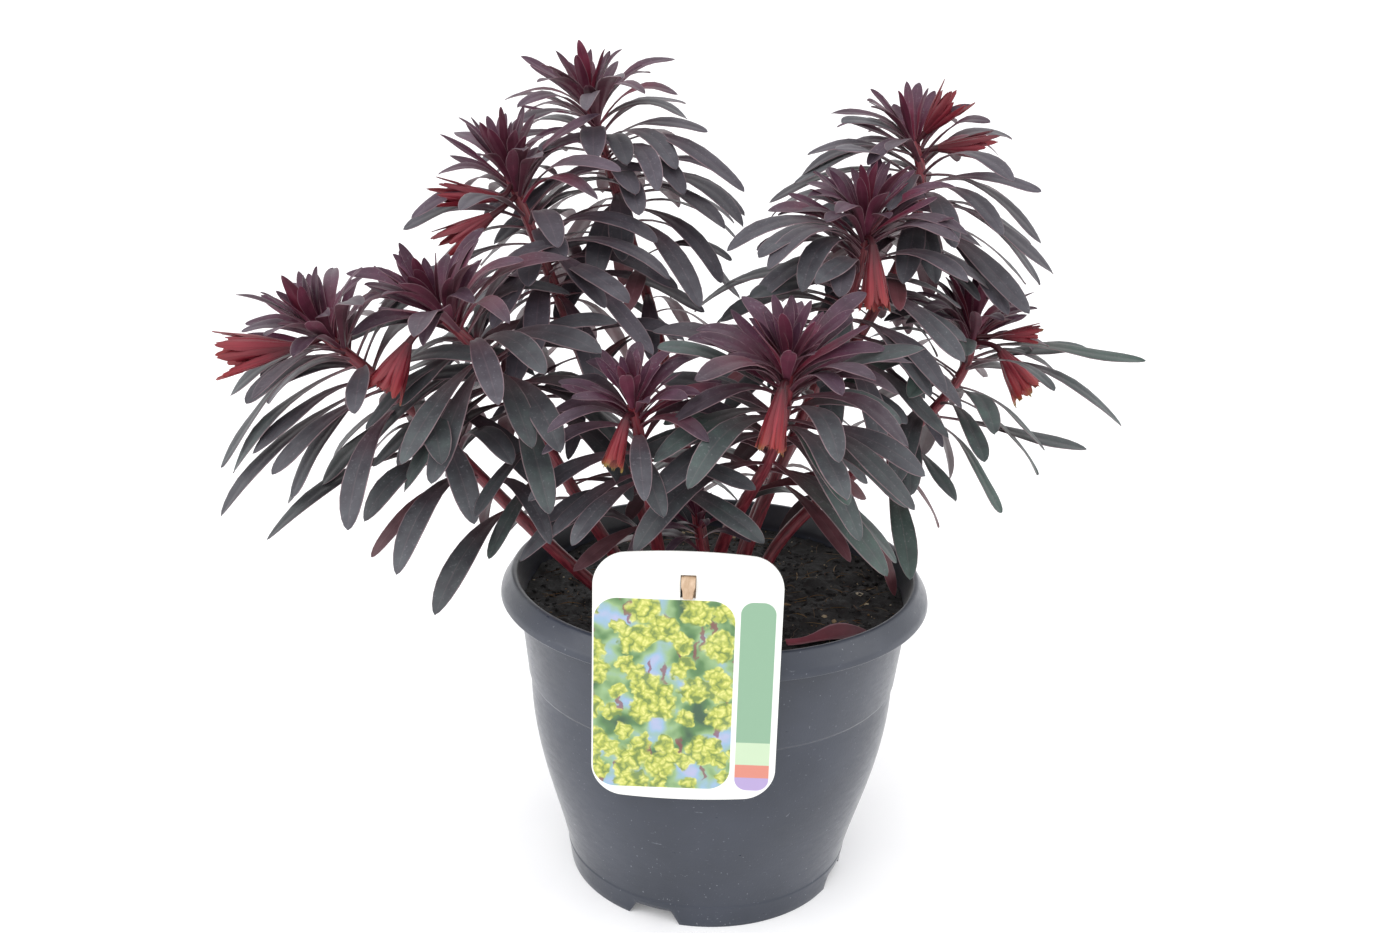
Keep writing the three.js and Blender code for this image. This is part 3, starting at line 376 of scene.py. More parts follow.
WAYS_ROUND = np.array([
    (0, 0, 1), (9, 0, 1), (-9, 0, 1), (0, 0.4, 1), (0, -0.4, 1), (18, 0.2, 1), (-18, 0.2, 1),
    (9, 0.7, 0.95), (-9, 0.7, 0.95), (26, 0, 0.95), (-26, 0, 0.95), (0, -0.7, 0.9), (12, 0.9, 0.85),
    (-12, 0.9, 0.85), (0, 0.3, 0.8), (34, 0.4, 0.85), (-34, 0.4, 0.85), (20, -0.6, 0.8), (-20, -0.6, 0.8),
])

# %% [markdown]
# The nine stems and the young shoot repeat the frame's own figures: four points of a curve, the seed, the
# first leaf's turn, the number of leaves in each zone, and the outer leaves that were placed one by one. Two
# values are this lesson's own: how many more leaves each zone gets, and how green the grown leaves are.

# %% Stems
STEMS = [
    {"path": [(-26, -10, 116), (-89, -22, 168), (-105, -33, 210), (-160, -45, 257)], "seed": 11, "turn": 0.3,
     "counts": (6, 9, 15, 5), "extra": (18, 13, 13, 1),
     "size": 1, "upward": 0.35, "green": 0.5,
     "outer": [(12, 90, -12, 76, 1.6), (19, 96, -13, 72, 1.4), (30, 103, -19, 87, 1), (8, 89, -2, 51, 1),
               (28, 108, -30, 61, 1.5), (34, 102, -20, 72, 1.5), (76, 98, 5, 91, 1.2), (85, 139, 40, 62, 1.7),
               (93, 154, 30, 69, 1.9), (114, 160, 20, 72, 1.5), (77, 219, 56, 53, 1.4)],
     "buds": [(3, (-168, -51, 252), (-198, -60, 249), 9)]},
    {"path": [(-17, -1, 116), (-60, -19, 164), (-70, -33, 226), (-112, -50, 268)], "seed": 22, "turn": 1.0,
     "counts": (6, 9, 15, 5), "extra": (20, 17, 20, 2),
     "size": 1, "upward": 0.45, "green": 0.6,
     "outer": [(29, 98, -14, 64, 1.1), (42, 94, -7, 64, 1.1), (21, 120, -8, 38, 1.2)],
     "buds": [(5, (-121, -60, 257), (-130, -68, 238), 7.5)]},
    {"path": [(-13, 12, 116), (-53, 14, 207), (-60, 12, 237), (-93, 12, 315)], "seed": 33, "turn": 2.0,
     "counts": (6, 9, 19, 5), "extra": (18, 15, 24, 5),
     "size": 1, "upward": 0.3, "green": 0.15,
     "outer": [(16, 104, 26, 55, 1.2)],
     "buds": [(4, (-96, 4, 305), (-124, -2, 307), 6), (9, (-98, 0, 298), (-119, -4, 284), 7)]},
    {"path": [(-2, 20, 116), (-11, 32, 195), (-40, 46, 272), (-63, 58, 341)], "seed": 44, "turn": 0.0,
     "counts": (6, 9, 20, 6), "extra": (11, 11, 19, 4),
     "size": 1, "upward": 0.3, "green": 0.2,
     "outer": [(25, 244, 37, 78, 1.5), (39, 255, 30, 68, 1.5), (11, 292, 45, 48, 1.3), (19, 237, 37, 53, 1.5),
               (29, 226, 29, 54, 1.3), (21, 199, 39, 48, 1.4)],
     "buds": []},
    {"path": [(11, 20, 116), (3, 33, 183), (110, 47, 279), (82, 60, 328)], "seed": 55, "turn": 0.7,
     "counts": (6, 9, 19, 5), "extra": (14, 13, 20, 4),
     "size": 1, "upward": 0.6, "green": 0.3,
     "outer": [(20, 263, 6, 65, 1.3), (30, 275, -6, 74, 1.3), (14, 115, 54, 49, 1.0), (20, 71, 11, 75, 0.9),
               (9, 76, 18, 61, 1.2)],
     "buds": [(2, (87, 58, 333), (100, 54, 351), 8), (7, (93, 58, 326), (120, 56, 328), 6.5)]},
    {"path": [(13, 8, 116), (-3, 7, 140), (59, 9, 248), (59, 12, 297)], "seed": 66, "turn": 1.7,
     "counts": (6, 10, 19, 5), "extra": (20, 17, 25, 4), "size": 1, "upward": 0.3, "green": 0.45,
     "outer": [(10, 110, 40, 68, 1.3), (14, 121, 41, 64, 1.2), (15, 140, 51, 53, 1.6), (32, 63, 28, 84, 1.4),
               (36, 56, 21, 75, 1.3), (24, 141, 40, 58, 1.3), (6, 58, 54, 56, 1.5)],
     "buds": [(6, (61, 0, 291), (63, -8, 265), 6.5)]},
    {"path": [(4, -4, 116), (-12, -25, 180), (31, -44, 195), (25, -62, 253)], "seed": 77, "turn": 2.7,
     "counts": (6, 10, 14, 4), "extra": (20, 17, 18, 1),
     "size": 1.05, "upward": 0.3, "green": 0.9,
     "outer": [(30, 223, 12, 59, 2), (22, 243, 5, 65, 1.2), (26, 208, 22, 57, 1.4), (20, 121, 17, 61, 1),
               (14, 256, 43, 59, 0.6), (13, 104, 40, 57, 0.6)],
     "buds": [(6, (23, -71, 247), (19, -78, 223), 6)]},
    {"path": [(23, 4, 116), (2, 18, 169), (120, 31, 198), (113, 45, 247)], "seed": 88, "turn": 0.4,
     "counts": (6, 9, 15, 5), "extra": (22, 16, 15, 2),
     "size": 1, "upward": 0.2, "green": 1.0,
     "outer": [(10, 285, 3, 91, 0.3), (5, 284, 36, 69, 1.2), (16, 273, 4, 83, 1), (49, 284, -11, 84, 0.1),
               (20, 287, 12, 69, 0.3), (8, 256, 37, 58, 0.9), (72, 193, -27, 64, 1.1), (7, 276, 27, 77, 0.7)],
     "buds": [(7, (125, 34, 240), (139, 26, 222), 8), (4, (127, 42, 245), (145, 40, 247), 5)]},
    {"path": [(-10, -12, 116), (-28, -29, 153), (-26, -47, 199), (-34, -66, 237)], "seed": 99, "turn": 1.1,
     "counts": (6, 8, 10, 4), "extra": (18, 12, 7, 0),
     "size": 0.85, "upward": 0.3, "green": 0.5,
     "outer": [(95, 110, 67, 88, 1.6)],
     "buds": [(5, (-36, -72, 233), (-41, -78, 215), 4.5)]},
]
SHOOT = {"path": [(4, -20, 116), (2, -26, 135), (-6, -34, 160), (-8, -40, 184)], "seed": 101, "turn": 0.2,
         "counts": (4, 4, 3, 0), "extra": (8, 3, 0, 0), "size": 0.55, "upward": 0.5,
         "thick": 0.55, "foot": 24, "green": 0.1, "outer": [], "buds": []}
for number, stem in enumerate(STEMS, 1):
    stem["node"] = f"leafy_stem_{number}"
SHOOT["node"] = "basal_shoot_1"
GROWN = [*STEMS, SHOOT]


# %% [markdown]
# A stem is a cubic curve, because four points are enough for its bow. Chance comes from a short formula
# rather than from a library, so that the frame's own script, in another language, draws the same numbers.

# %% Curves and draws
def unit(vectors):
    """Each vector over its own length."""
    return vectors / np.linalg.norm(vectors, axis=-1, keepdims=True)


def between(pair, share):
    """The value at a share of the way from the pair's first to its second."""
    return pair[0] + (pair[1] - pair[0]) * share


def curve(path, share):
    """A cubic Bezier curve: (1-t)^3 a + 3(1-t)^2 t b + 3(1-t) t^2 c + t^3 d."""
    t = np.asarray(share, float)[..., None]
    a, b, c, d = np.array(path, float)
    return (1 - t) ** 3 * a + 3 * (1 - t) ** 2 * t * b + 3 * (1 - t) * t ** 2 * c + t ** 3 * d


def curve_heading(path, share):
    """The curve's direction, from a little before each share to a little after it."""
    share = np.asarray(share, float)
    return unit(curve(path, np.minimum(share + HEADING_STEP, 1)) - curve(path, share - HEADING_STEP))


def curve_length(path):
    """The length of the curve in short chords."""
    return np.linalg.norm(np.diff(curve(path, np.linspace(0, 1, LENGTH_CHORDS + 1)), axis=0), axis=1).sum()


def draw_from(seed):
    """Endless draws from 0 to 1: the state is multiplied by 1664525, 1013904223 is added, and what is over
    2^32 falls away."""
    state = seed
    while True:
        state = (state * 1664525 + 1013904223) % 2 ** 32
        yield state / 2 ** 32


def zone_leaves(stem, zone, count, ages, draw, before):
    """The leaves of one zone of a stem, from the top down. Each is turned by the golden angle from the one
    before it, and all the rest is drawn about even changes."""
    path, length = stem["path"], curve_length(stem["path"])
    lowest = min(zone["below"][1], length - stem.get("foot", BARE_FOOT))

    def spread(name):
        return (2 * next(draw) - 1) * SPREAD[name]

    leaves = []
    for i in range(count):
        share = (i + 0.5) / count
        at = 1 - between((zone["below"][0], lowest), share) / length
        heading = curve_heading(path, at)
        axis = unit(heading + (UP - heading) * stem["upward"] * zone["lift"])
        leaves.append({
            "root": curve(path, at), "axis": axis, "side": unit(BACK - axis * axis[1]),
            "turn": stem["turn"] + (before + i) * GOLDEN_ANGLE + spread("turn"),
            "rise": np.radians(between(zone["rise"], share) + spread("rise")),
            "length": between(zone["length"], share) * stem["size"] * (1 + spread("length")),
            "droop": between(zone["droop"], share) * (1 + spread("droop")),
            "width": between(zone["width"], share) * stem["size"] * (1 + spread("width")),
            "roll": spread("roll"), "sway": spread("sway"), "petiole": zone["petiole"],
            "outward": zone["outward"], "stations": zone["stations"], "age": between(ages, share),
        })
    return leaves


def stem_leaves(stem):
    """The leaves of a stem in the order in which they are drawn, and then its outer leaves."""
    draw, leaves = draw_from(stem["seed"]), []
    for zone, count, ages in zip(ZONES, stem["counts"], ZONE_AGES):
        leaves += zone_leaves(stem, zone, count, ages, draw, len(leaves))
    for below, bearing, rise, reach, droop in stem["outer"]:
        leaves.append({
            "root": curve(stem["path"], 1 - below / curve_length(stem["path"])), "axis": UP, "side": BACK,
            "turn": np.radians(bearing), "rise": np.radians(rise), "length": reach, "droop": droop,
            "width": OUTER_WIDTH, "roll": 0.0, "sway": 0.0, "petiole": OUTER_PETIOLE, "outward": 0.0,
            "stations": OUTER_STATIONS, "age": OUTER_AGE,
        })
    return leaves


print("curve lengths:", [round(curve_length(s["path"])) for s in STEMS], "mm")

# %% [markdown]
# In the frame each leaf may have turned, drooped or shortened a little, to keep clear of its neighbours. Its
# tip tells which way it took: of all the ways round, one ends on a corner of the frame's solid. A leaf for
# which none does found no room, and it isn't grown.

# %% The way that each leaf took
TIP_ROOM = 0.05


def aim(leaf, ways):
    """The heading, across, bend, droop and length that the leaf has with each way round."""
    turn = leaf["turn"] + np.radians(ways[:, 0])[:, None]
    other = np.cross(leaf["axis"], leaf["side"])
    out = np.cos(turn) * leaf["side"] + np.sin(turn) * other
    across = np.cross(leaf["axis"], out)
    heading = out * np.cos(leaf["rise"]) + leaf["axis"] * np.sin(leaf["rise"])
    bend = unit(-UP * (1 - leaf["outward"]) + (out - leaf["axis"]) * leaf["outward"] + across * leaf["sway"])
    droop = np.maximum(0, leaf["droop"] + ways[:, 1])
    return {"heading": heading, "across": across, "bend": bend, "droop": droop,
            "length": leaf["length"] * ways[:, 2]}


def plain_tips(leaf, aimed):
    """Where the plain blade ends: each step between stations goes the way that is bent half way along it."""
    stations = np.array(leaf["stations"], float)
    middles = ((stations[1:] + stations[:-1]) / 2)[None, :, None]
    steps = np.diff(stations)[None, :, None] * aimed["length"][:, None, None]
    bent = unit(aimed["heading"][:, None] + aimed["bend"][:, None] * aimed["droop"][:, None, None] * middles)
    return leaf["root"] + (bent * steps).sum(1)


def node_points(name):
    """The corners of a frame solid, in millimetres."""
    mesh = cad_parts[name].data
    flat = np.zeros(len(mesh.vertices) * 3, np.float32)
    mesh.vertices.foreach_get("co", flat)
    return np.unique(flat.reshape(-1, 3).round(7), axis=0) / MM


def grown_leaves(stem):
    """The leaves of the frame's solid. Each is aimed the way round whose tip is one of its corners."""
    corners = node_points(stem["node"])
    found = []
    for leaf in stem_leaves(stem):
        aimed = aim(leaf, WAYS_ROUND)
        tips = plain_tips(leaf, aimed)
        off = np.linalg.norm(tips[:, None] - corners[None], axis=-1).min(1)
        way = int(np.argmin(off))
        if off[way] < TIP_ROOM:
            found.append({**leaf, **{k: v[way] for k, v in aimed.items()}, "tip": tips[way]})
    return found


for stem in GROWN:
    stem["leaves"] = grown_leaves(stem)
    stem["missing"] = len(stem_leaves(stem)) - len(stem["leaves"])
print("leaves found:", [len(s["leaves"]) for s in GROWN], "left out:", [s["missing"] for s in GROWN])

# %% [markdown]
# Each blade is worked out round a middle line, which bends as the plain blade's does and ends on the same
# tip. The leaves of a stem are one array, leaves by places along, so that numpy bends them all at once. The
# places lie closer together near the root and the tip, where the outline turns most.

# %% Middle lines
EVEN = np.linspace(0, 1, 16)
ALONG = 0.15 * EVEN + 0.85 * (0.5 - 0.5 * np.cos(np.pi * EVEN))


def leaf_table(leaves):
    """The leaves' values as arrays, one row for each leaf."""
    names = ("root", "heading", "across", "bend", "droop", "length", "width", "roll", "petiole", "tip", "age")
    return {n: np.array([leaf[n] for leaf in leaves], float) for n in names}


def middle_lines(t, share):
    """The points and headings of the middle lines. The heading is the first one plus bend x droop x share,
    and the points add it up, moved evenly so that the line ends on the plain tip."""
    bent = unit(t["heading"][:, None] + t["bend"][:, None] * (t["droop"][:, None, None] * share[:, None]))
    steps = (bent[:, 1:] + bent[:, :-1]) / 2 * np.diff(share)[:, None] * t["length"][:, None, None]
    points = t["root"][:, None] + np.concatenate([np.zeros_like(bent[:, :1]), np.cumsum(steps, 1)], 1)
    points += share[:, None] * (t["tip"] - points[:, -1])[:, None]
    return points, bent


print("places along a leaf:", len(ALONG), "the closest", round(float(np.diff(ALONG).min()), 3), "apart")

# %% [markdown]
# The frame holds the larger leaves only. A real crown is denser, and ends in a tight tuft of the youngest
# leaves, short, narrow and nearly upright. They could be strewn at random, but a plant never grows so. More
# leaves are grown here instead, in the gaps between the frame's own, half a turn off them. Those that would
# touch the pot or the card, or hide a bell from somebody in front of the pot, are dropped.

# %% Leaves between
TUFT_LEAVES = {"below": (0.5, 10), "length": (27, 42), "rise": (84, 38), "droop": (0.2, 0.9),
               "width": (5.4, 7.6), "petiole": 0.5, "outward": 0.75, "lift": 1, "stations": (0, 0.7, 1)}
ARCHING_LEAVES = {**CROWN_LEAVES, "rise": (66, 26), "droop": (0.8, 1.5), "width": (7.6, 10)}
BETWEEN_ZONES = [TUFT_LEAVES, ARCHING_LEAVES, SKIRT_LEAVES, LOWER_LEAVES]
BETWEEN_AGES = [(0.0, 0.16), (0.18, 0.42), (0.5, 0.85), (0.85, 1.0)]
BETWEEN_LENGTH = 0.93
BETWEEN_SEED = 7000
POT_REACH = 99.0
POT_CLEAR_HEIGHT = 149.0
CARD_X = -9.8
CARD_REACH = 40.0
CARD_CLEAR_Y = -88.0
CARD_CLEAR_HEIGHT = 193.0
SIGHT_SLOPE = np.radians(18)
BELL_CLEAR = 1.5
BELL_SHARES = np.linspace(0.1, 1, 6)[:, None]


def seen_from_front(points):
    """Places as somebody sees them who looks down from the front: aside, up, and how far behind."""
    x, y, z = np.moveaxis(points, -1, 0)
    cos, sin = np.cos(SIGHT_SLOPE), np.sin(SIGHT_SLOPE)
    return np.stack([x, z * cos + y * sin], axis=-1), y * cos - z * sin


def hides_a_bell(line):
    """Which middle lines pass in front of a bell, hardly further from its axis than its mouth's radius."""
    hidden = np.zeros(len(line), bool)
    at, depth = seen_from_front(line)
    for _, neck, tip, mouth in [bud for stem in STEMS for bud in stem["buds"]]:
        axis, deep = seen_from_front(between((np.array(neck, float), np.array(tip, float)), BELL_SHARES))
        gap = np.linalg.norm(at[:, :, None] - axis, axis=-1)
        hidden |= ((gap < mouth + BELL_CLEAR) & (depth[:, :, None] < deep)).any((1, 2))
    return hidden


def leaves_between(stem):
    """More leaves by the same rule, from another seed. The points of their middle lines show which are
    clear of the pot, the card and the bells."""
    draw, leaves = draw_from(BETWEEN_SEED + stem["seed"]), []
    half_turned = {**stem, "turn": stem["turn"] + np.pi}
    for zone, count, ages in zip(BETWEEN_ZONES, stem["extra"], BETWEEN_AGES):
        for leaf in zone_leaves(half_turned, zone, count, ages, draw, len(leaves)):
            aimed = {k: v[0] for k, v in aim(leaf, WAYS_ROUND[:1]).items()}
            aimed["length"] *= BETWEEN_LENGTH
            leaf.update(aimed, tip=plain_tips(leaf, {k: v[None] for k, v in aimed.items()})[0])
            leaves.append(leaf)
    line = middle_lines(leaf_table(leaves), ALONG)[0]
    x, y, z = np.moveaxis(line, -1, 0)
    over_pot = (z < POT_CLEAR_HEIGHT) & (np.hypot(x, y) < POT_REACH)
    near_card = (z < CARD_CLEAR_HEIGHT) & (y < CARD_CLEAR_Y) & (np.abs(x - CARD_X) < CARD_REACH)
    clear = ~((over_pot | near_card).any(1) | hides_a_bell(line))
    return [leaf for leaf, keep in zip(leaves, clear) if keep]


for stem in GROWN:
    stem["more"] = leaves_between(stem)
print("leaves between:", [len(s["more"]) for s in GROWN], "in all", sum(len(s["more"]) for s in GROWN))

# %% [markdown]
# A blade is a thick sheet. It could be one leaf copied a thousand times, but on a real plant no two are
# alike, so each has its own outline, bend and waves. Across it, the two halves fold up from a rib and curl
# down a little at the margin, which waves. Blades turn their faces to the light, those of the crown arch, and
# the tips of the youngest curl up. A blade is a little narrower than the plain one that it covers.

# %% Outline of a blade
ACROSS = np.array([-1, -0.92, -0.62, -0.22, 0, 0.22, 0.62, 0.92, 1])


def width_share(share, petiole, blunt):
    """A narrow neck widens as sin(pi/2 (s / p)^1.6) up to the widest place p, and beyond it the blade ends as
    (1 - ((s - p) / (1 - p))^c)^d. A blunt blade is widest near its tip and ends round. One that isn't blunt
    is widest half way along and ends in a point."""
    widest, c, d = 0.48 + 0.2 * blunt, 1.5 + 0.8 * blunt, 1.15 - 0.53 * blunt
    rise = np.sin(np.pi / 2 * np.minimum(share / widest, 1) ** 1.6)
    fall = (1 - np.clip((share - widest) / (1 - widest), 0, 1) ** c) ** d
    neck = petiole * (1 - share)
    return (neck + (1 - neck) * rise) * fall


def turn_about(vectors, axes, angle):
    """Vectors turned about unit axes: v cos a + (k x v) sin a + k (k . v)(1 - cos a)."""
    cos, sin = np.cos(angle), np.sin(angle)
    dot = (axes * vectors).sum(-1, keepdims=True)
    return vectors * cos + np.cross(axes, vectors) * sin + axes * dot * (1 - cos)


# %% Blades
AGE_SPREAD = 0.06
GREEN_SPREAD = (0.5, 1.35)
CRIMSON_SHARE = 0.16
CRIMSON_UNTIL = 0.4
RUSTY_SHARE = 0.5
RUSTY_FROM = 0.84
LIGHT = np.array([0, -0.62, 0.78])
LIGHT_TURN = 1.3
BLADE_THICKNESS = 0.42
PETIOLE_THICKNESS = 1.0
RIB_WIDTH = 0.7
TIP_HALF = 0.12
YOUNG_AGE = 0.16
MATURING = 0.44
YOUNG_CURL = 0.38
ARCH = 0.11
BOW = 0.035
YOUNG_SHARE = 0.8
YOUNG_FOLD = 0.22
FOLD_LOST = 0.12
WAVE_HEIGHT = 0.5
GROOVE_DEPTH = 0.16
RIB_HEIGHT = 0.3
NECK_SHARE = 0.75
NECK_FADE = 0.12
MARGIN_THINNING = 0.62


def blade_values(t, v, share, green, rng):
    """What the leaf finish reads at each point. Grown leaves take (age - 0.3) / 0.4 of the stem's own green.
    Half of the old ones turn rusty, and about one in six of the young ones is crimson."""
    count = len(t["age"])
    spot = np.stack(np.broadcast_arrays(v, share, np.zeros((count, 1, 1))), axis=-1)
    spots = np.stack([spot, spot + ON_BACK], axis=1).reshape(-1, 3)
    age = np.clip(t["age"] + rng.uniform(-AGE_SPREAD, AGE_SPREAD, count), 0, 1)
    greens = green * np.clip((t["age"] - 0.3) / 0.4, 0, 1) * rng.uniform(*GREEN_SPREAD, count)
    young = t["age"] < CRIMSON_UNTIL
    crimson = (rng.uniform(0, 1, count) < CRIMSON_SHARE) * young * rng.uniform(0.3, 0.75, count)
    old = t["age"] > RUSTY_FROM
    rusty = (rng.uniform(0, 1, count) < RUSTY_SHARE) * old * rng.uniform(0.5, 1, count)
    kind = np.stack([age, greens, rng.uniform(0, 1, count)], axis=-1)
    blush = np.stack([crimson, rusty, 0 * age], axis=-1)
    each = 2 * len(ALONG) * len(ACROSS)
    return {"blade": spots, "kind": np.repeat(kind, each, 0), "blush": np.repeat(blush, each, 0)}


def blades(leaves, green, seed):
    """All the blades of a stem as one shape. s is the place along and v the place across, from -1 to 1.

    The middle line bows aside by sin(pi s) and out by sin(2 pi s). A young one curls up by s^2, and one half
    way to maturity m arches most, by 4 m (1 - m) sin(pi s). Across the blade, a half that is h wide lifts by
    h (fold |v|^1.3 - 0.1 v^4), and the margins wave by v^2 s sin(13 s) and v^2 s sin(11 s). The face has a
    groove and the back a rib, each a bell curve exp(-(v h / width)^2)."""
    t = leaf_table(leaves)
    rng = np.random.default_rng(seed)
    count = len(leaves)
    points, heading = middle_lines(t, ALONG)
    share = ALONG[None, :, None]
    turned = turn_about(np.broadcast_to(t["across"][:, None], heading.shape), heading,
                        t["roll"][:, None, None] * share)
    lit = unit(np.cross(heading, turned)) + LIGHT * LIGHT_TURN * share
    across = unit(np.cross(lit, heading))
    face = np.cross(heading, across)
    bow = rng.uniform(-BOW, BOW, (2, count, 1, 1)) * t["length"][:, None, None]
    points = points + across * bow[0] * np.sin(np.pi * share)
    points = points + face * 0.5 * bow[1] * np.sin(2 * np.pi * share)
    mature = np.clip((t["age"] - YOUNG_AGE) / MATURING, 0, 1)[:, None]
    curl = YOUNG_CURL * (t["length"] * np.clip(1 - t["heading"][:, 2], 0, 1))[:, None] * (1 - mature)
    points = points + UP * curl[..., None] * share ** 2
    arch = ARCH * t["length"][:, None] * 4 * mature * (1 - mature)
    points = points + UP * arch[..., None] * np.sin(np.pi * share)

    slim = (YOUNG_SHARE + 0.1 * mature) * t["width"][:, None]
    blunt = 0.9 + 0.1 * mature
    half = slim * width_share(ALONG[None, :], NECK_SHARE * t["petiole"][:, None], blunt) / 2
    half = np.maximum(half, TIP_HALF)[..., None]
    grown = np.clip(t["width"] / OUTER_WIDTH, 0.4, 1)[:, None, None]
    fold = YOUNG_FOLD - FOLD_LOST * mature[..., None]
    v = ACROSS[None, None]
    waves = rng.uniform(0, 2 * np.pi, (2, count, 1, 1))
    ripple = np.where(v < 0, np.sin(13 * share + waves[0]), np.sin(11 * share + waves[1]))
    lift = half * (fold * np.abs(v) ** 1.3 - 0.1 * v ** 4) + WAVE_HEIGHT * grown * ripple * v ** 2 * share
    groove = GROOVE_DEPTH * grown * np.exp(-(v * half / RIB_WIDTH) ** 2)
    thick = (BLADE_THICKNESS + (PETIOLE_THICKNESS - BLADE_THICKNESS) * np.exp(-share / NECK_FADE)) * grown
    thick = thick * (1 - MARGIN_THINNING * v ** 2)
    rib = RIB_HEIGHT * grown * (1.15 - share) * np.exp(-(v * half / RIB_WIDTH) ** 2)
    edge = points[:, :, None] + across[:, :, None] * (half * v)[..., None]
    front = edge + face[:, :, None] * (lift - groove)[..., None]
    back = edge + face[:, :, None] * (lift - thick - rib)[..., None]
    return sheet(front, back, **blade_values(t, v, share, green, rng))


for stem in GROWN:
    leaves = stem["leaves"] + stem["more"]
    mesh = to_mesh(stem["node"] + "_leaves", blades(leaves, stem["green"], stem["seed"]))
    place(stem["node"] + "_leaves", mesh, WAXY_LEAF, "foliage", stem["node"])

# %% [markdown]
# The stems are deep crimson and slightly glossy, with fine streaks along them and the small crescent scars
# that fallen leaves leave behind. "shaft" holds a place round and along the stem in millimetres, so that
# the streaks follow every bend, which a pattern on Object coordinates would not do.

# %% Stem finish
STEM_COLOURS = [(0.28, "#40141e"), (0.75, "#94474e"), (0.5, "#72232f")]
DULL_STEM = linear("#673336")


def stem_finish():
    """Crimson bark of a soft stem. Its streaks are about 1 mm wide and eight times as long, and duller
    blotches lie about 11 mm apart. The attribute is in millimetres, so a scale is 1 over a size."""
    material, tree, shader = new_finish("crimson soft stem")
    shaft = add(tree, "Attribute", attribute_name="shaft")["Vector"]
    place_on = add(tree, "Mapping", {"Vector": shaft, "Scale": (1.0, 1.0, 0.12)})[0]
    streaks = add(tree, "TexNoise", {"Vector": place_on, "Scale": 1.1, "Detail": 4.0})[0]
    blotch = add(tree, "TexNoise", {"Vector": shaft, "Scale": 0.09, "Detail": 3.0})[0]
    red = add(tree, "ValToRGB", {"Fac": streaks}, STEM_COLOURS)[0]
    dull = add(tree, "MapRange", {"Value": blotch, "From Min": 0.45, "From Max": 0.75, "To Max": 0.55})[0]
    colour = add(tree, "Mix", {FACTOR: dull, MIX_A: red, MIX_B: DULL_STEM}, **COLOURS)[MIX_OUT]
    tree.links.new(colour, shader.inputs["Base Color"])
    gloss = add(tree, "MapRange", {"Value": streaks, "To Min": 0.3, "To Max": 0.5})[0]
    tree.links.new(gloss, shader.inputs["Roughness"])
    bump = add(tree, "Bump", {"Height": streaks, "Strength": 0.3, "Distance": 0.3 * MM})[0]
    tree.links.new(bump, shader.inputs["Normal"])
    shader.inputs["Specular IOR Level"].default_value = 0.45
    return material


CRIMSON_STEM = stem_finish()

# %% [markdown]
# A stem could be a curve object with a round bevel, which is one setting. A tube of rings round the same
# curve can do more: its radius falls evenly to the crown, and each leaf scar is a small raised crescent.

# %% Stems with their scars
STEM_ROWS = 110
STEM_AROUND = 20
ROOT_RADIUS = 3.1
CROWN_RADIUS = 2.2
SCAR_STEP = 4.6
SCAR_HEIGHT = 0.34
SCAR_LENGTH = 0.75
SCAR_WIDTH = 1.5
FIRST_SCAR = 12
LAST_SCAR = 8


def stem_tube(stem):
    """A tube round the curve. Its radius falls evenly, and each scar adds a bump exp(-(d / size)^2), where d
    is the distance from it round and along the stem. A scar's ends lie higher than its middle."""
    path, length = stem["path"], curve_length(stem["path"])
    share = np.linspace(0, 1, STEM_ROWS)
    centre = curve(path, share)
    heading = curve_heading(path, np.maximum(share, HEADING_STEP))
    side = unit(BACK - heading * heading[:, 1:2])
    other = np.cross(heading, side)
    angle = np.linspace(0, 2 * np.pi, STEM_AROUND, endpoint=False)
    radius = between((ROOT_RADIUS, CROWN_RADIUS), share)[:, None] * stem.get("thick", 1)
    scars = np.arange(FIRST_SCAR, length - LAST_SCAR, SCAR_STEP)
    scar_angle = np.arange(len(scars)) * GOLDEN_ANGLE + stem["turn"]
    gap = (angle[None, :, None] - scar_angle + np.pi) % (2 * np.pi) - np.pi
    crescent = share[:, None, None] * length - scars + 0.5 * gap ** 2
    bumps = np.exp(-(gap * ROOT_RADIUS / SCAR_WIDTH) ** 2 - (crescent / SCAR_LENGTH) ** 2).sum(-1)
    radius = radius + SCAR_HEIGHT * bumps * np.minimum(1, (1 - share[:, None]) * 6)
    out = side[:, None] * np.cos(angle)[None, :, None] + other[:, None] * np.sin(angle)[None, :, None]
    rings = (centre[:, None] + out * radius[..., None])[None]
    x, y = ROOT_RADIUS * np.cos(angle)[None], ROOT_RADIUS * np.sin(angle)[None]
    around = np.stack(np.broadcast_arrays(x, y, share[:, None] * length), axis=-1).reshape(-1, 3)
    ends = np.array([[0, 0, 0], [0, 0, length]], float)
    return tube(rings, shaft=np.concatenate([around, ends]))


for stem in GROWN:
    mesh = to_mesh(stem["node"] + "_stem", stem_tube(stem))
    place(stem["node"] + "_stem", mesh, CRIMSON_STEM, "foliage", stem["node"])

# %% [markdown]
# The buds are bells of coral bracts on short stalks. Each bract is folded along its middle and lies on the
# bell's own surface: five outer ones on the ridges of the plain bell, and two more rings of shorter ones that
# show between them. Their tips turn orange and then yellow-green. A ripe bell is even, with a toothed mouth,
# and a young one is loose, with pointed wine-red bracts.

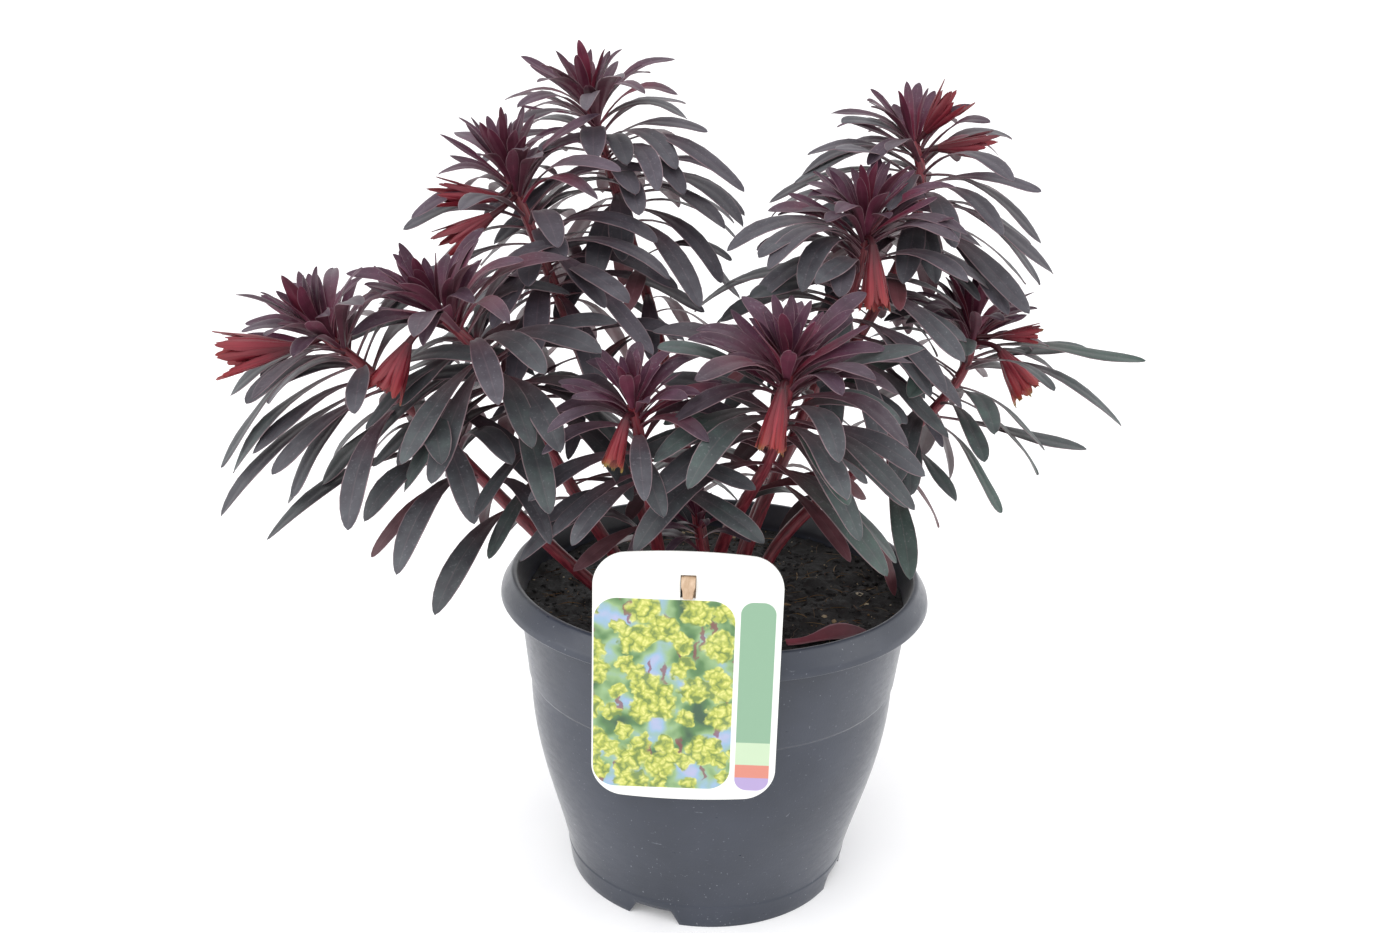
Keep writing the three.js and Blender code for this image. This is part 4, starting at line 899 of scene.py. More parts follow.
# %% Bract finish
CORAL_COLOURS = [(0.0, "#43151f"), (1.0, "#8a7436"), (0.25, "#6d1a28"), (0.6, "#88222d"),
                 (0.87, "#93302f"), (0.95, "#965130")]
PLUM_COLOURS = [(0.1, "#701e2b"), (1.0, "#3a1a28"), (0.6, "#6d2430")]
VEIN_AND_EDGE_SHADE = linear("#55141e")
WANDER_SIZE = 4.0


def bract_finish():
    """Coral bracts: the colour changes along the bract, and darker veins run lengthwise. A ripe bract's
    colours start further down, and noise moves them up or down by an eighth of its length. The margins are
    darkened too, with the veins' colour: painted shade where one bract lies over the next."""
    material, tree, shader = new_finish("coral bract")
    blade = add(tree, "Attribute", attribute_name="blade")["Vector"]
    kind = add(tree, "Attribute", attribute_name="kind")["Vector"]
    here = add(tree, "SeparateXYZ", {"Vector": blade})
    own = add(tree, "SeparateXYZ", {"Vector": kind})
    place_on = add(tree, "TexCoord")["Object"]
    wander = add(tree, "TexNoise", {"Vector": place_on, "Scale": per_metre(WANDER_SIZE), "Detail": 3.0})[0]
    shift = add(tree, "MapRange", {"Value": wander, "To Min": -0.12, "To Max": 0.12})[0]
    along = add(tree, "Math", {0: here["Y"], 1: shift}, operation="ADD")[0]
    ripe = add(tree, "MapRange", {"Value": own["X"], "To Min": -0.16, "To Max": 0.03})[0]
    along = add(tree, "Math", {0: along, 1: ripe}, operation="ADD")[0]
    coral = add(tree, "ValToRGB", {"Fac": along}, CORAL_COLOURS)[0]
    plum = add(tree, "ValToRGB", {"Fac": along}, PLUM_COLOURS)[0]
    colour = add(tree, "Mix", {FACTOR: own["Y"], MIX_A: coral, MIX_B: plum}, **COLOURS)[MIX_OUT]

    fibres = add(tree, "Mapping", {"Vector": blade, "Scale": (7.0, 0.6, 1.0)})[0]
    veins = add(tree, "TexNoise", {"Vector": fibres, "Scale": 1.6, "Detail": 3.0})[0]
    aside = add(tree, "Math", {0: here["X"]}, operation="ABSOLUTE")[0]
    # Painted shade: each bract darkens towards its margins, where it overlaps the next one.
    margin = add(tree, "MapRange", {"Value": aside, "From Min": 0.6, "From Max": 1.0, "To Max": 0.6},
                 **SMOOTH)[0]
    dark = add(tree, "MapRange", {"Value": veins, "From Min": 0.45, "From Max": 0.75, "To Max": 0.7})[0]
    dark = add(tree, "Math", {0: dark, 1: margin}, operation="MAXIMUM")[0]
    veined_and_edge_shaded = add(tree, "Mix", {FACTOR: dark, MIX_A: colour, MIX_B: VEIN_AND_EDGE_SHADE}, **COLOURS)[MIX_OUT]
    tone = add(tree, "MapRange", {"Value": own["Z"], "To Min": 0.75, "To Max": 1.2})[0]
    toned = add(tree, "HueSaturation", {"Color": veined_and_edge_shaded, "Value": tone})[0]
    tree.links.new(toned, shader.inputs["Base Color"])
    bump = add(tree, "Bump", {"Height": veins, "Strength": 0.4, "Distance": 0.3 * MM})[0]
    tree.links.new(bump, shader.inputs["Normal"])
    shader.inputs["Roughness"].default_value = 0.42
    shader.inputs["Specular IOR Level"].default_value = 0.4
    return material


CORAL_BRACT = bract_finish()

# %% [markdown]
# A bell could be one cup with a toothed edge, but then its pleats and the dark gaps in it would have to be
# painted. Here each bract is its own thick sheet on the bell's surface, in three rings of five. The gaps are
# still darkened by painted shade, on the bracts' margins and on the inner rings. Each bell has its own look:
# how ripe it is, how far its bracts stand open, and how pointed they are.

# %% Bells
BELL_BRACTS = 5
NECK_RADIUS = 1.7
STALK_RADIUS = 1.15
STALK_BLADE = [0, 0.05, 0]
STALK_KIND = [0, 0, 0.4]
WAIST_AT = 0.45
WAIST = 0.66
ROOT_SPREAD = 0.76
BLUNT_FALL = 0.08
POINT_FALL = 0.3
COARSE_TEETH = 0.03
FINE_TEETH = 0.02
PLEAT_DEPTH = 0.16
BRACT_OVERLAP = 0.3
BELL_SEED = 40
BRACT_ALONG = 1 - (1 - np.linspace(0, 1, 13)) ** 1.4
BRACT_ACROSS = np.linspace(-1, 1, 13)
BRACT_THICKNESS = 0.35
# "dark" is painted shade: the inner rings, seen in the gaps between the outer bracts, are coloured darker.
BRACT_LAYERS = [
    {"reach": 1.0, "size": 1.04, "turn": 0.0, "spread": 0.5, "dark": 0.0},
    {"reach": 0.93, "size": 0.86, "turn": 0.5, "spread": 0.62, "dark": 0.16},
    {"reach": 0.78, "size": 0.66, "turn": 0.2, "spread": 0.7, "dark": 0.4},
]
BELLS = [
    {"ripe": 0.35, "open": 0.1, "pointed": 0.6}, {"ripe": 0.5, "open": 0.2, "pointed": 0.5},
    {"ripe": 0.2, "open": 0.8, "pointed": 0.9}, {"ripe": 0.3, "open": 0.7, "pointed": 0.8},
    {"ripe": 0.2, "open": 0.7, "pointed": 0.9}, {"ripe": 0.3, "open": 0.6, "pointed": 0.8},
    {"ripe": 0.45, "open": 0.05, "pointed": 0.2}, {"ripe": 0.9, "open": 0.0, "pointed": 0.1},
    {"ripe": 0.9, "open": 0.1, "pointed": 0.3}, {"ripe": 0.7, "open": 0.3, "pointed": 0.6},
    {"ripe": 1.0, "open": 0.0, "pointed": 0.1},
]


def bell_radius(share, mouth):
    """The bell's radius along it: even from the neck to the waist, and even from there to the mouth."""
    return np.interp(share, [0, WAIST_AT, 1], [NECK_RADIUS, WAIST * mouth, mouth])


def bell_axes(neck, tip):
    """The bell's length and its three directions: the way that it points and two square to it."""
    aim_at = np.array(tip, float) - neck
    length = np.linalg.norm(aim_at)
    ahead = aim_at / length
    side = unit(BACK - ahead * ahead[1])
    return length, ahead, side, np.cross(ahead, side)


def bract_values(layer, look, v, along, sunny, rng):
    """What the bract finish reads at each point. Inner layers, open bells and pointed bracts that face up
    are the darkest. On the inner layers this is painted shade, for the gaps between the outer bracts."""
    spot = np.stack(np.broadcast_arrays(v, along, 0 * along), axis=-1)
    spots = np.stack([spot, spot + ON_BACK], axis=1).reshape(-1, 3)
    plum = layer["dark"] + 0.5 * look["open"] + look["pointed"] * sunny * rng.uniform(0.5, 1.2, BELL_BRACTS)
    kind = np.column_stack([np.full(BELL_BRACTS, look["ripe"]), np.clip(plum, 0, 1),
                            rng.uniform(0, 1, BELL_BRACTS)])
    return {"blade": spots, "kind": np.repeat(kind, len(spots) // BELL_BRACTS, axis=0)}


def bell(neck, tip, mouth, look, seed):
    """Bracts on the bell's surface. Each spans an angle +-a about its own middle, where a falls towards the
    mouth, and is folded along its middle, so that the bell is pleated. One margin lies further out than the
    other, over the next bract. It ends in small teeth or in a point: its end falls back by p |v|^1.6."""
    length, ahead, side, other = bell_axes(neck, tip)
    rng = np.random.default_rng(seed)
    open_up, pointed = look["open"], look["pointed"]
    s, v = BRACT_ALONG[None, :, None], BRACT_ACROSS[None, None]
    shapes = []
    each = (BELL_BRACTS, 1, 1)
    for layer in BRACT_LAYERS:
        middle = np.arange(BELL_BRACTS) + layer["turn"] + rng.uniform(-0.1, 0.1, BELL_BRACTS)
        coarse = COARSE_TEETH * np.cos(4 * np.pi * v + rng.uniform(0, 6, each))
        ragged = coarse + FINE_TEETH * np.cos(6 * np.pi * v)
        end = 1 - (BLUNT_FALL + POINT_FALL * pointed) * np.abs(v) ** 1.6 + (1 - 0.8 * pointed) * ragged
        reach = layer["reach"] * rng.uniform(0.9 - 0.12 * pointed, 1.03, each) * end
        narrow = 1 - (0.1 + 0.2 * pointed + 0.2 * open_up) * s ** 2.5
        spread = (ROOT_SPREAD + (layer["spread"] - ROOT_SPREAD) * s ** 0.7) * narrow
        lean = rng.uniform(-0.12, 0.12, each) * (0.3 + open_up) * s ** 2
        angle = (middle * 2 * np.pi / BELL_BRACTS)[:, None, None] + v * spread + lean
        flare = (rng.uniform(-0.06, 0.1, each) + 0.3 * open_up * rng.uniform(0, 1, each)) * s ** 3
        size = 1 - (1 - layer["size"]) * s ** 0.5
        radius = bell_radius(s * reach, mouth) * size * (1 + flare)
        fold = PLEAT_DEPTH * mouth * (0.4 - np.abs(v)) * np.sin(np.pi * np.minimum(0.85 * s + 0.05, 1))
        radius = radius + fold + BRACT_OVERLAP * v * np.sin(np.pi * s)
        out = side * np.cos(angle)[..., None] + other * np.sin(angle)[..., None]
        on = neck + ahead * (length * s * reach)[..., None]
        thick = BRACT_THICKNESS * (1 - 0.6 * v ** 2) + 0 * radius
        front, back = on + out * radius[..., None], on + out * (radius - thick)[..., None]
        sunny = np.clip(out[:, 0, len(BRACT_ACROSS) // 2, 2], 0, 1)
        shapes.append(sheet(back, front, **bract_values(layer, look, v, s * reach, sunny, rng)))
    return together(shapes)


def stalk(stem, below, neck, tip):
    """A thin tube from the stem to the bell's neck, along a quadratic curve that ends the way that the bell
    points: (1-t)^2 root + 2 (1-t) t bend + t^2 neck."""
    root = curve(stem["path"], 1 - below / curve_length(stem["path"]))
    ahead = bell_axes(neck, tip)[1]
    bend = neck - ahead * 0.35 * np.linalg.norm(neck - root)
    t = np.linspace(0, 1, 12)[:, None]
    line = (1 - t) ** 2 * root + 2 * (1 - t) * t * bend + t ** 2 * (neck + ahead)
    heading = unit(np.gradient(line, axis=0))
    side = unit(BACK - heading * heading[:, 1:2])
    other = np.cross(heading, side)
    angle = np.linspace(0, 2 * np.pi, 12, endpoint=False)
    radius = between((STALK_RADIUS, NECK_RADIUS), t ** 3)[..., None]
    out = side[:, None] * np.cos(angle)[None, :, None] + other[:, None] * np.sin(angle)[None, :, None]
    rings = line[:, None] + radius * out
    count = rings.shape[0] * rings.shape[1] + 2
    return tube(rings[None], blade=np.tile(STALK_BLADE, (count, 1)), kind=np.tile(STALK_KIND, (count, 1)))


number = 0
for stem in STEMS:
    for below, neck, tip, mouth in stem["buds"]:
        number += 1
        neck = np.array(neck, float)
        shape = bell(neck, tip, mouth, BELLS[number - 1], BELL_SEED + number)
        shape = together([shape, stalk(stem, below, neck, tip)])
        place(f"bud_{number}_bracts", to_mesh(f"bud_{number}_bracts", shape), CORAL_BRACT, "bracts",
              f"bud_{number}")

# %% [markdown]
# The pot is thin polypropylene from a mould, coloured right through in slate blue. Moulding leaves a fine
# matt grain, and handling leaves pale scuffs and dust, most of it near the foot. The inner wall above the
# compost is darkened by painted shade, and a thin band of the outer wall just under the collar by a painted
# shadow. One noise for each mark is enough: grain in the bump, scuffs that run round the pot, and fine
# specks for the dust.

# %% Pot finish
POT_COLOURS = [(0.3, "#2a2f3a"), (0.7, "#353a46")]
POT_SCUFF, POT_DUST, POT_PAINTED_SHADE = linear("#767a82"), linear("#9a9da4"), linear("#15141a")
GRAIN_SIZE = 0.9
CLOUD_SIZE = 38.0
SCUFF_SIZE = 7.0
DUST_SIZE = 1.3
DUST_HEIGHT = 70.0
# Painted shade on the inner wall above the compost and under the collar: darker within this radius, above
# this height.
SHADE_RADIUS = (88.9, 88.3)
SHADE_HEIGHT = (131.5, 133.5)


def pot_finish():
    """Slate-blue moulded plastic with a fine grain, slow cloudiness, short pale scuffs and dust. Painted
    shade fades in over the inner wall's radius and above the compost, and it also darkens the outer wall just
    under the collar."""
    material, tree, shader = new_finish("moulded slate polypropylene")
    place_on = add(tree, "TexCoord")["Object"]
    grain = add(tree, "TexNoise", {"Vector": place_on, "Scale": per_metre(GRAIN_SIZE), "Detail": 3.0})[0]
    cloud = add(tree, "TexNoise", {"Vector": place_on, "Scale": per_metre(CLOUD_SIZE), "Detail": 4.0})[0]
    flat = add(tree, "Mapping", {"Vector": place_on, "Scale": (1.0, 1.0, 3.2)})[0]
    marks = add(tree, "TexNoise", {"Vector": flat, "Scale": per_metre(SCUFF_SIZE), "Detail": 9.0,
                                   "Roughness": 0.68})[0]
    scuffs = add(tree, "MapRange", {"Value": marks, "From Min": 0.63, "From Max": 0.76, "To Max": 0.65},
                 **SMOOTH)[0]
    body = add(tree, "ValToRGB", {"Fac": cloud}, POT_COLOURS)[0]
    worn = add(tree, "Mix", {FACTOR: scuffs, MIX_A: body, MIX_B: POT_SCUFF}, **COLOURS)[MIX_OUT]

    dust = add(tree, "TexNoise", {"Vector": place_on, "Scale": per_metre(DUST_SIZE), "Detail": 2.0})[0]
    height = add(tree, "SeparateXYZ", {"Vector": place_on})["Z"]
    dusty = add(tree, "MapRange", {"Value": height, "From Min": DUST_HEIGHT * MM, "From Max": 0.0,
                                   "To Min": 0.3, "To Max": 0.65})[0]
    specks = add(tree, "MapRange", {"Value": dust, "From Min": 0.68, "From Max": 0.78}, **SMOOTH)[0]
    specks = add(tree, "Math", {0: specks, 1: dusty}, operation="MULTIPLY")[0]
    outside = add(tree, "Mix", {FACTOR: specks, MIX_A: worn, MIX_B: POT_DUST}, **COLOURS)[MIX_OUT]

    # Painted shade: darkens the inner wall above the compost and a thin band of the outer wall under the
    # collar.
    across = add(tree, "VectorMath", {0: place_on, 1: (1.0, 1.0, 0.0)}, operation="MULTIPLY")[0]
    radius = add(tree, "VectorMath", {0: across}, operation="LENGTH")["Value"]
    inside = add(tree, "MapRange", {"Value": radius, "From Min": SHADE_RADIUS[0] * MM,
                                    "From Max": SHADE_RADIUS[1] * MM}, **SMOOTH)[0]
    above = add(tree, "MapRange", {"Value": height, "From Min": SHADE_HEIGHT[0] * MM,
                                   "From Max": SHADE_HEIGHT[1] * MM, "To Max": 0.7}, **SMOOTH)[0]
    painted_shade = add(tree, "Math", {0: inside, 1: above}, operation="MULTIPLY")[0]
    colour = add(tree, "Mix", {FACTOR: painted_shade, MIX_A: outside, MIX_B: POT_PAINTED_SHADE}, **COLOURS)[MIX_OUT]
    tree.links.new(colour, shader.inputs["Base Color"])
    matt = add(tree, "MapRange", {"Value": marks, "From Min": 0.3, "From Max": 0.75, "To Min": 0.27,
                                  "To Max": 0.46})[0]
    tree.links.new(matt, shader.inputs["Roughness"])
    bump = add(tree, "Bump", {"Height": grain, "Strength": 0.25, "Distance": 0.15 * MM})[0]
    tree.links.new(bump, shader.inputs["Normal"])
    shader.inputs["IOR"].default_value = 1.5
    shader.inputs["Sheen Weight"].default_value = 0.4
    shader.inputs["Sheen Roughness"].default_value = 0.25
    return material


SLATE_PLASTIC = pot_finish()

# %% [markdown]
# The pot is one outline turned about the axis. A Spin or a Screw modifier could turn it, but below its base
# each ring is also lifted over the four drainage notches, so the turning is done here, point by point. Every
# corner of the outline is eased, as a mould's are, and 11 mm above the foot the wall has a fine ledge.

# %% Measures of the pot
POT_WALL = 1.6
FOOT_RADIUS = 64.0
FOOT_FLAT = 2.0
BELT_RADIUS = 82.4
BELT_HEIGHT = 96.5
BELT_STEP = 1.0
BELT_SLOPE = 1.4
NECK_OF_POT = 87.6
MOUTH_RADIUS = 88.0
LIP_RADIUS = 90.5
POT_HEIGHT = 144.7
COLLAR_RADIUS = 95.6
COLLAR_TOP_RADIUS = 95.0
COLLAR_TOP_HEIGHT = 137.6
COLLAR_HEIGHT = 134.6
COLLAR_WALL = 1.5
BASE_HEIGHT = 7.0
BASE_TOP = 8.8
FOOT_LINE = 11.0
FOOT_LEDGE = 0.3
LEDGE_SOFTNESS = 0.15
NOTCH_BEARINGS = np.radians(-20 + 90 * np.arange(4))
NOTCH_TOP = 16.0
NOTCH_FOOT = 24.0
NOTCH_HEIGHT = 6.5
DRAIN_RADIUS = 5.0
DRAIN_CIRCLE = 44.0
EASE = 0.9
TURN_STEPS = 240
print("pot:", POT_HEIGHT, "mm tall,", 2 * COLLAR_RADIUS, "mm across")


# %% Outline of the pot
def wall_radius(z):
    """The outer wall: 64 + 18.4 sin(pi/2 (z / 96.5)^0.8)^2 up to the belt, and a straight slope above it."""
    swell = np.sin(np.pi / 2 * np.clip(z / BELT_HEIGHT, 0, 1) ** 0.8) ** 2
    below = FOOT_RADIUS + (BELT_RADIUS - FOOT_RADIUS) * swell
    above = between((BELT_RADIUS + BELT_STEP, NECK_OF_POT), (z - BELT_HEIGHT) / (COLLAR_HEIGHT - BELT_HEIGHT))
    return np.where(z <= BELT_HEIGHT, below, above)


def eased(outline, reach, steps=4):
    """The outline with each corner replaced by a quadratic curve that starts and ends this far from it."""
    outline = np.array(outline, float)
    before, corner, after = outline[:-2], outline[1:-1], outline[2:]
    sides = [np.linalg.norm(p - corner, axis=1, keepdims=True) for p in (before, after)]
    first = corner + (before - corner) * np.minimum(reach / sides[0], 0.45)
    last = corner + (after - corner) * np.minimum(reach / sides[1], 0.45)
    t = np.linspace(0, 1, steps)[None, :, None]
    arcs = (1 - t) ** 2 * first[:, None] + 2 * t * (1 - t) * corner[:, None] + t ** 2 * last[:, None]
    return np.concatenate([outline[:1], arcs.reshape(-1, 2), outline[-1:]])


def pot_outline():
    """The pot's outline from the middle of its underside, up the outside, over the lip and down inside. The
    ledge near the foot is ledge / (1 + exp((z - line) / softness)), a step with a soft edge."""
    heights = np.concatenate([np.linspace(3, 9, 3), FOOT_LINE + np.linspace(-1.2, 1.2, 9),
                              np.linspace(14, BELT_HEIGHT - 1, 26)])
    ledge = FOOT_LEDGE / (1 + np.exp(np.clip((heights - FOOT_LINE) / LEDGE_SOFTNESS, -20, 20)))
    wall = np.column_stack([wall_radius(heights) + ledge, heights])
    inner = np.linspace(COLLAR_HEIGHT - 4, BASE_TOP + 1, 24)
    inside = np.column_stack([wall_radius(inner) - POT_WALL, inner])
    foot = eased([(0, BASE_HEIGHT), (FOOT_RADIUS - POT_WALL, BASE_HEIGHT), (FOOT_RADIUS - FOOT_FLAT, 0),
                  (FOOT_RADIUS, 0), wall[0]], EASE / 3)
    belt = eased([wall[-1], (BELT_RADIUS, BELT_HEIGHT), (BELT_RADIUS + BELT_STEP, BELT_HEIGHT + BELT_SLOPE),
                  (NECK_OF_POT, COLLAR_HEIGHT)], EASE / 3)
    top = eased([
        belt[-2], (NECK_OF_POT, COLLAR_HEIGHT), (NECK_OF_POT, COLLAR_TOP_HEIGHT),
        (COLLAR_TOP_RADIUS - COLLAR_WALL, COLLAR_TOP_HEIGHT - 1),
        (COLLAR_RADIUS - COLLAR_WALL, COLLAR_HEIGHT), (COLLAR_RADIUS, COLLAR_HEIGHT),
        (COLLAR_TOP_RADIUS, COLLAR_TOP_HEIGHT), (LIP_RADIUS, POT_HEIGHT),
        (MOUTH_RADIUS + 0.4, POT_HEIGHT), (NECK_OF_POT - POT_WALL, COLLAR_HEIGHT), inside[0],
    ], EASE)
    floor = eased([inside[-1], (wall_radius(BASE_TOP) - POT_WALL, BASE_TOP), (0, BASE_TOP)], EASE)
    return np.concatenate([foot[:-1], wall[:-1], belt[1:-1], top[1:-1], inside[:-1], floor[1:]])


print("points in the pot's outline:", len(pot_outline()))


# %% The pot turned
def notch_height(bearing):
    """How far the foot is lifted at a bearing: a trapezoid about each notch's middle."""
    apart = (bearing[:, None] - NOTCH_BEARINGS + np.pi) % (2 * np.pi) - np.pi
    aside = FOOT_RADIUS * np.abs(np.sin(apart)) + FOOT_RADIUS * (np.abs(apart) > 1)
    slope = (NOTCH_FOOT / 2 - aside) / ((NOTCH_FOOT - NOTCH_TOP) / 2)
    return (NOTCH_HEIGHT * np.clip(slope, 0, 1)).max(1)


def turned_body(outline, lift):
    """An outline turned about the axis. Its first and last points are the poles, and below the base the
    rows are pressed together over the notches."""
    corners = np.arcsin(np.array([NOTCH_TOP, NOTCH_FOOT]) / 2 / FOOT_RADIUS)
    extra = (NOTCH_BEARINGS[:, None] + np.concatenate([corners, -corners])).ravel() % (2 * np.pi)
    even = np.linspace(0, 2 * np.pi, TURN_STEPS, endpoint=False)
    far = np.abs(even[:, None] - extra).min(1) > 0.006
    bearing = np.sort(np.concatenate([even[far], extra]))
    radius, height = outline[1:-1, 0][:, None], outline[1:-1, 1][:, None]
    raised = height + (notch_height(bearing)[None] * np.clip(1 - height / BASE_HEIGHT, 0, 1) if lift else 0)
    grid = np.stack([radius * np.sin(bearing), -radius * np.cos(bearing), raised + 0 * bearing], axis=-1)
    index = grid_index(grid.shape[:2])
    onward = np.roll(index, -1, axis=1)
    quads = np.stack([index[:-1], onward[:-1], onward[1:], index[1:]], axis=-1).reshape(-1, 4)
    low, high = index.size, index.size + 1
    fans = [np.stack([onward[0], index[0], np.full(len(bearing), low)], axis=-1),
            np.stack([index[-1], onward[-1], np.full(len(bearing), high)], axis=-1)]
    poles = np.array([[0, 0, outline[0, 1]], [0, 0, outline[-1, 1]]])
    points = np.concatenate([grid.reshape(-1, 3), poles])
    return {"points": points, "quads": quads, "triangles": np.concatenate(fans), "values": {}}


def drain_cutters():
    """Four short upright rods where the drain holes go through the base."""
    bearing = np.arange(4) * np.pi / 2
    angle = np.linspace(0, 2 * np.pi, 24, endpoint=False)
    x = DRAIN_CIRCLE * np.cos(bearing)[:, None, None] + DRAIN_RADIUS * np.cos(angle)
    y = DRAIN_CIRCLE * np.sin(bearing)[:, None, None] + DRAIN_RADIUS * np.sin(angle)
    z = np.array([BASE_HEIGHT - 3, BASE_TOP + 3])[None, :, None]
    return tube(np.stack(np.broadcast_arrays(x, y, z), axis=-1))


pot = place("nursery_pot", to_mesh("nursery_pot", turned_body(pot_outline(), lift=True)), SLATE_PLASTIC,
            "pot_plastic", "pot")
cut_out(pot, drain_cutters())

# %% [markdown]
# Compost is peat and bark, nearly black when damp, with fibres, pale grains and a few orange chips. One
# finish serves the bed and all that lies on it: "kind" tells how pale a crumb is and how orange, so that a
# thousand crumbs need no materials of their own.

# %% Compost finish
PEAT_COLOURS = [(0.35, "#050405"), (0.72, "#211814"), (0.55, "#0d0a0b")]
CRUMB_COLOURS = [(0.0, "#5b3a22"), (1.0, "#cfc2a8"), (0.5, "#8a6a3c")]
CRUMB_SIZE = 2.2


def compost_finish():
    """Damp peat: dark brown to black. "kind" holds how pale a loose crumb is, which is 0 on the bed, and
    where its colour lies between orange bark and a pale grain."""
    material, tree, shader = new_finish("damp peat compost")
    place_on = add(tree, "TexCoord")["Object"]
    kind = add(tree, "Attribute", attribute_name="kind")["Vector"]
    own = add(tree, "SeparateXYZ", {"Vector": kind})
    crumbs = add(tree, "TexNoise", {"Vector": place_on, "Scale": per_metre(CRUMB_SIZE), "Detail": 8.0,
                                    "Roughness": 0.7})[0]
    dark = add(tree, "ValToRGB", {"Fac": crumbs}, PEAT_COLOURS)[0]
    pale = add(tree, "ValToRGB", {"Fac": own["Y"]}, CRUMB_COLOURS)[0]
    colour = add(tree, "Mix", {FACTOR: own["X"], MIX_A: dark, MIX_B: pale}, **COLOURS)[MIX_OUT]
    tree.links.new(colour, shader.inputs["Base Color"])
    damp = add(tree, "MapRange", {"Value": crumbs, "From Min": 0.3, "From Max": 0.7, "To Min": 0.55,
                                  "To Max": 0.95})[0]
    tree.links.new(damp, shader.inputs["Roughness"])
    bump = add(tree, "Bump", {"Height": crumbs, "Strength": 0.8, "Distance": 0.8 * MM})[0]
    tree.links.new(bump, shader.inputs["Normal"])
    return material


DAMP_PEAT = compost_finish()

# %% [markdown]
# The bed is a turned body that follows the frame's soil. It could be smooth with a bump in its finish, but
# the lumps show against the light, so they are real: three layers of noise, each finer than the last.

# %% Compost bed
SOIL_TOP = 131.2
SOIL_RELIEF = 0.9
SOIL_GAP = 0.3
BED_ROWS = 90
NOISE_TABLE = 64


def value_noise(x, y, size, seed):
    """Smooth noise from -1 to 1: random values at the corners of a square mesh of this size, blended by
    3t^2 - 2t^3 between them."""
    table = np.random.default_rng(seed).uniform(-1, 1, (NOISE_TABLE, NOISE_TABLE))
    column, row = np.floor(x / size).astype(int), np.floor(y / size).astype(int)
    u, v = x / size - column, y / size - row
    u, v = u * u * (3 - 2 * u), v * v * (3 - 2 * v)

    def corner(i, j):
        return table[(column + i) % NOISE_TABLE, (row + j) % NOISE_TABLE]

    near = corner(0, 0) * (1 - u) + corner(1, 0) * u
    far = corner(0, 1) * (1 - u) + corner(1, 1) * u
    return near * (1 - v) + far * v


def soil_height(x, y):
    """The frame's soil: its top and two slow waves, sin(0.11 x + 0.4) cos(0.13 y) and half of
    sin(0.23 y - 0.17 x), on a level that falls a little towards the front left."""
    waves = np.sin(0.11 * x + 0.4) * np.cos(0.13 * y) + 0.5 * np.sin(0.23 * y - 0.17 * x)
    return SOIL_TOP + SOIL_RELIEF * waves - 1.2 * np.maximum(0, -x - y) / 100


def crumbly_height(x, y):
    """The soil with lumps of 9, 4 and 1.7 mm on it."""
    relief = 0.9 * value_noise(x, y, 9, 1) + 0.7 * value_noise(x, y, 4, 2) + 0.45 * value_noise(x, y, 1.7, 3)
    return soil_height(x, y) + relief


def compost_bed():
    """The bed as a turned body whose top is crumbly and whose sides follow the pot's inner wall."""
    edge = wall_radius(np.float64(SOIL_TOP)) - POT_WALL - SOIL_GAP - 0.2
    heights = np.linspace(BASE_TOP + SOIL_GAP, SOIL_TOP - 2, 20)
    sides = np.column_stack([wall_radius(heights) - POT_WALL - SOIL_GAP, heights])
    shares = np.linspace(1, 0, BED_ROWS) ** 0.85
    top = np.column_stack([shares * edge, np.full(BED_ROWS, SOIL_TOP)])
    outline = np.concatenate([[(0, heights[0])], sides, top])
    bed = turned_body(outline, lift=False)
    points = bed["points"]
    upper = points[:, 2] > SOIL_TOP - 0.01
    points[upper, 2] = crumbly_height(points[upper, 0], points[upper, 1])
    bed["values"] = {"kind": np.zeros((len(points), 3))}
    return bed


place("compost_bed", to_mesh("compost_bed", compost_bed()), DAMP_PEAT, "compost", "soil")

# %% [markdown]
# Loose crumbs, pale grains, bark chips and root fibres lie on the bed. A particle system could strew copies
# of one crumb, but they would all be alike. So each is a small closed tube of a few dozen faces with its own
# dents, and all of them are one mesh.

# %% Loose crumbs and fibres
CRUMBS = 1300
GRAINS = 420
FIBRES = 260
CHIPS = 22
LITTER_SEED = 5
LUMP_RINGS, LUMP_SIDES = 4, 5
STRAND_RINGS, STRAND_SIDES = 5, 3


def scattered(count, rng, room):
    """Points spread evenly over the soil: the radius is the square root of an even draw."""
    radius = (wall_radius(np.float64(SOIL_TOP)) - POT_WALL - room) * np.sqrt(rng.uniform(0, 1, count))
    angle = rng.uniform(0, 2 * np.pi, count)
    x, y = radius * np.cos(angle), radius * np.sin(angle)
    return np.column_stack([x, y, crumbly_height(x, y)])


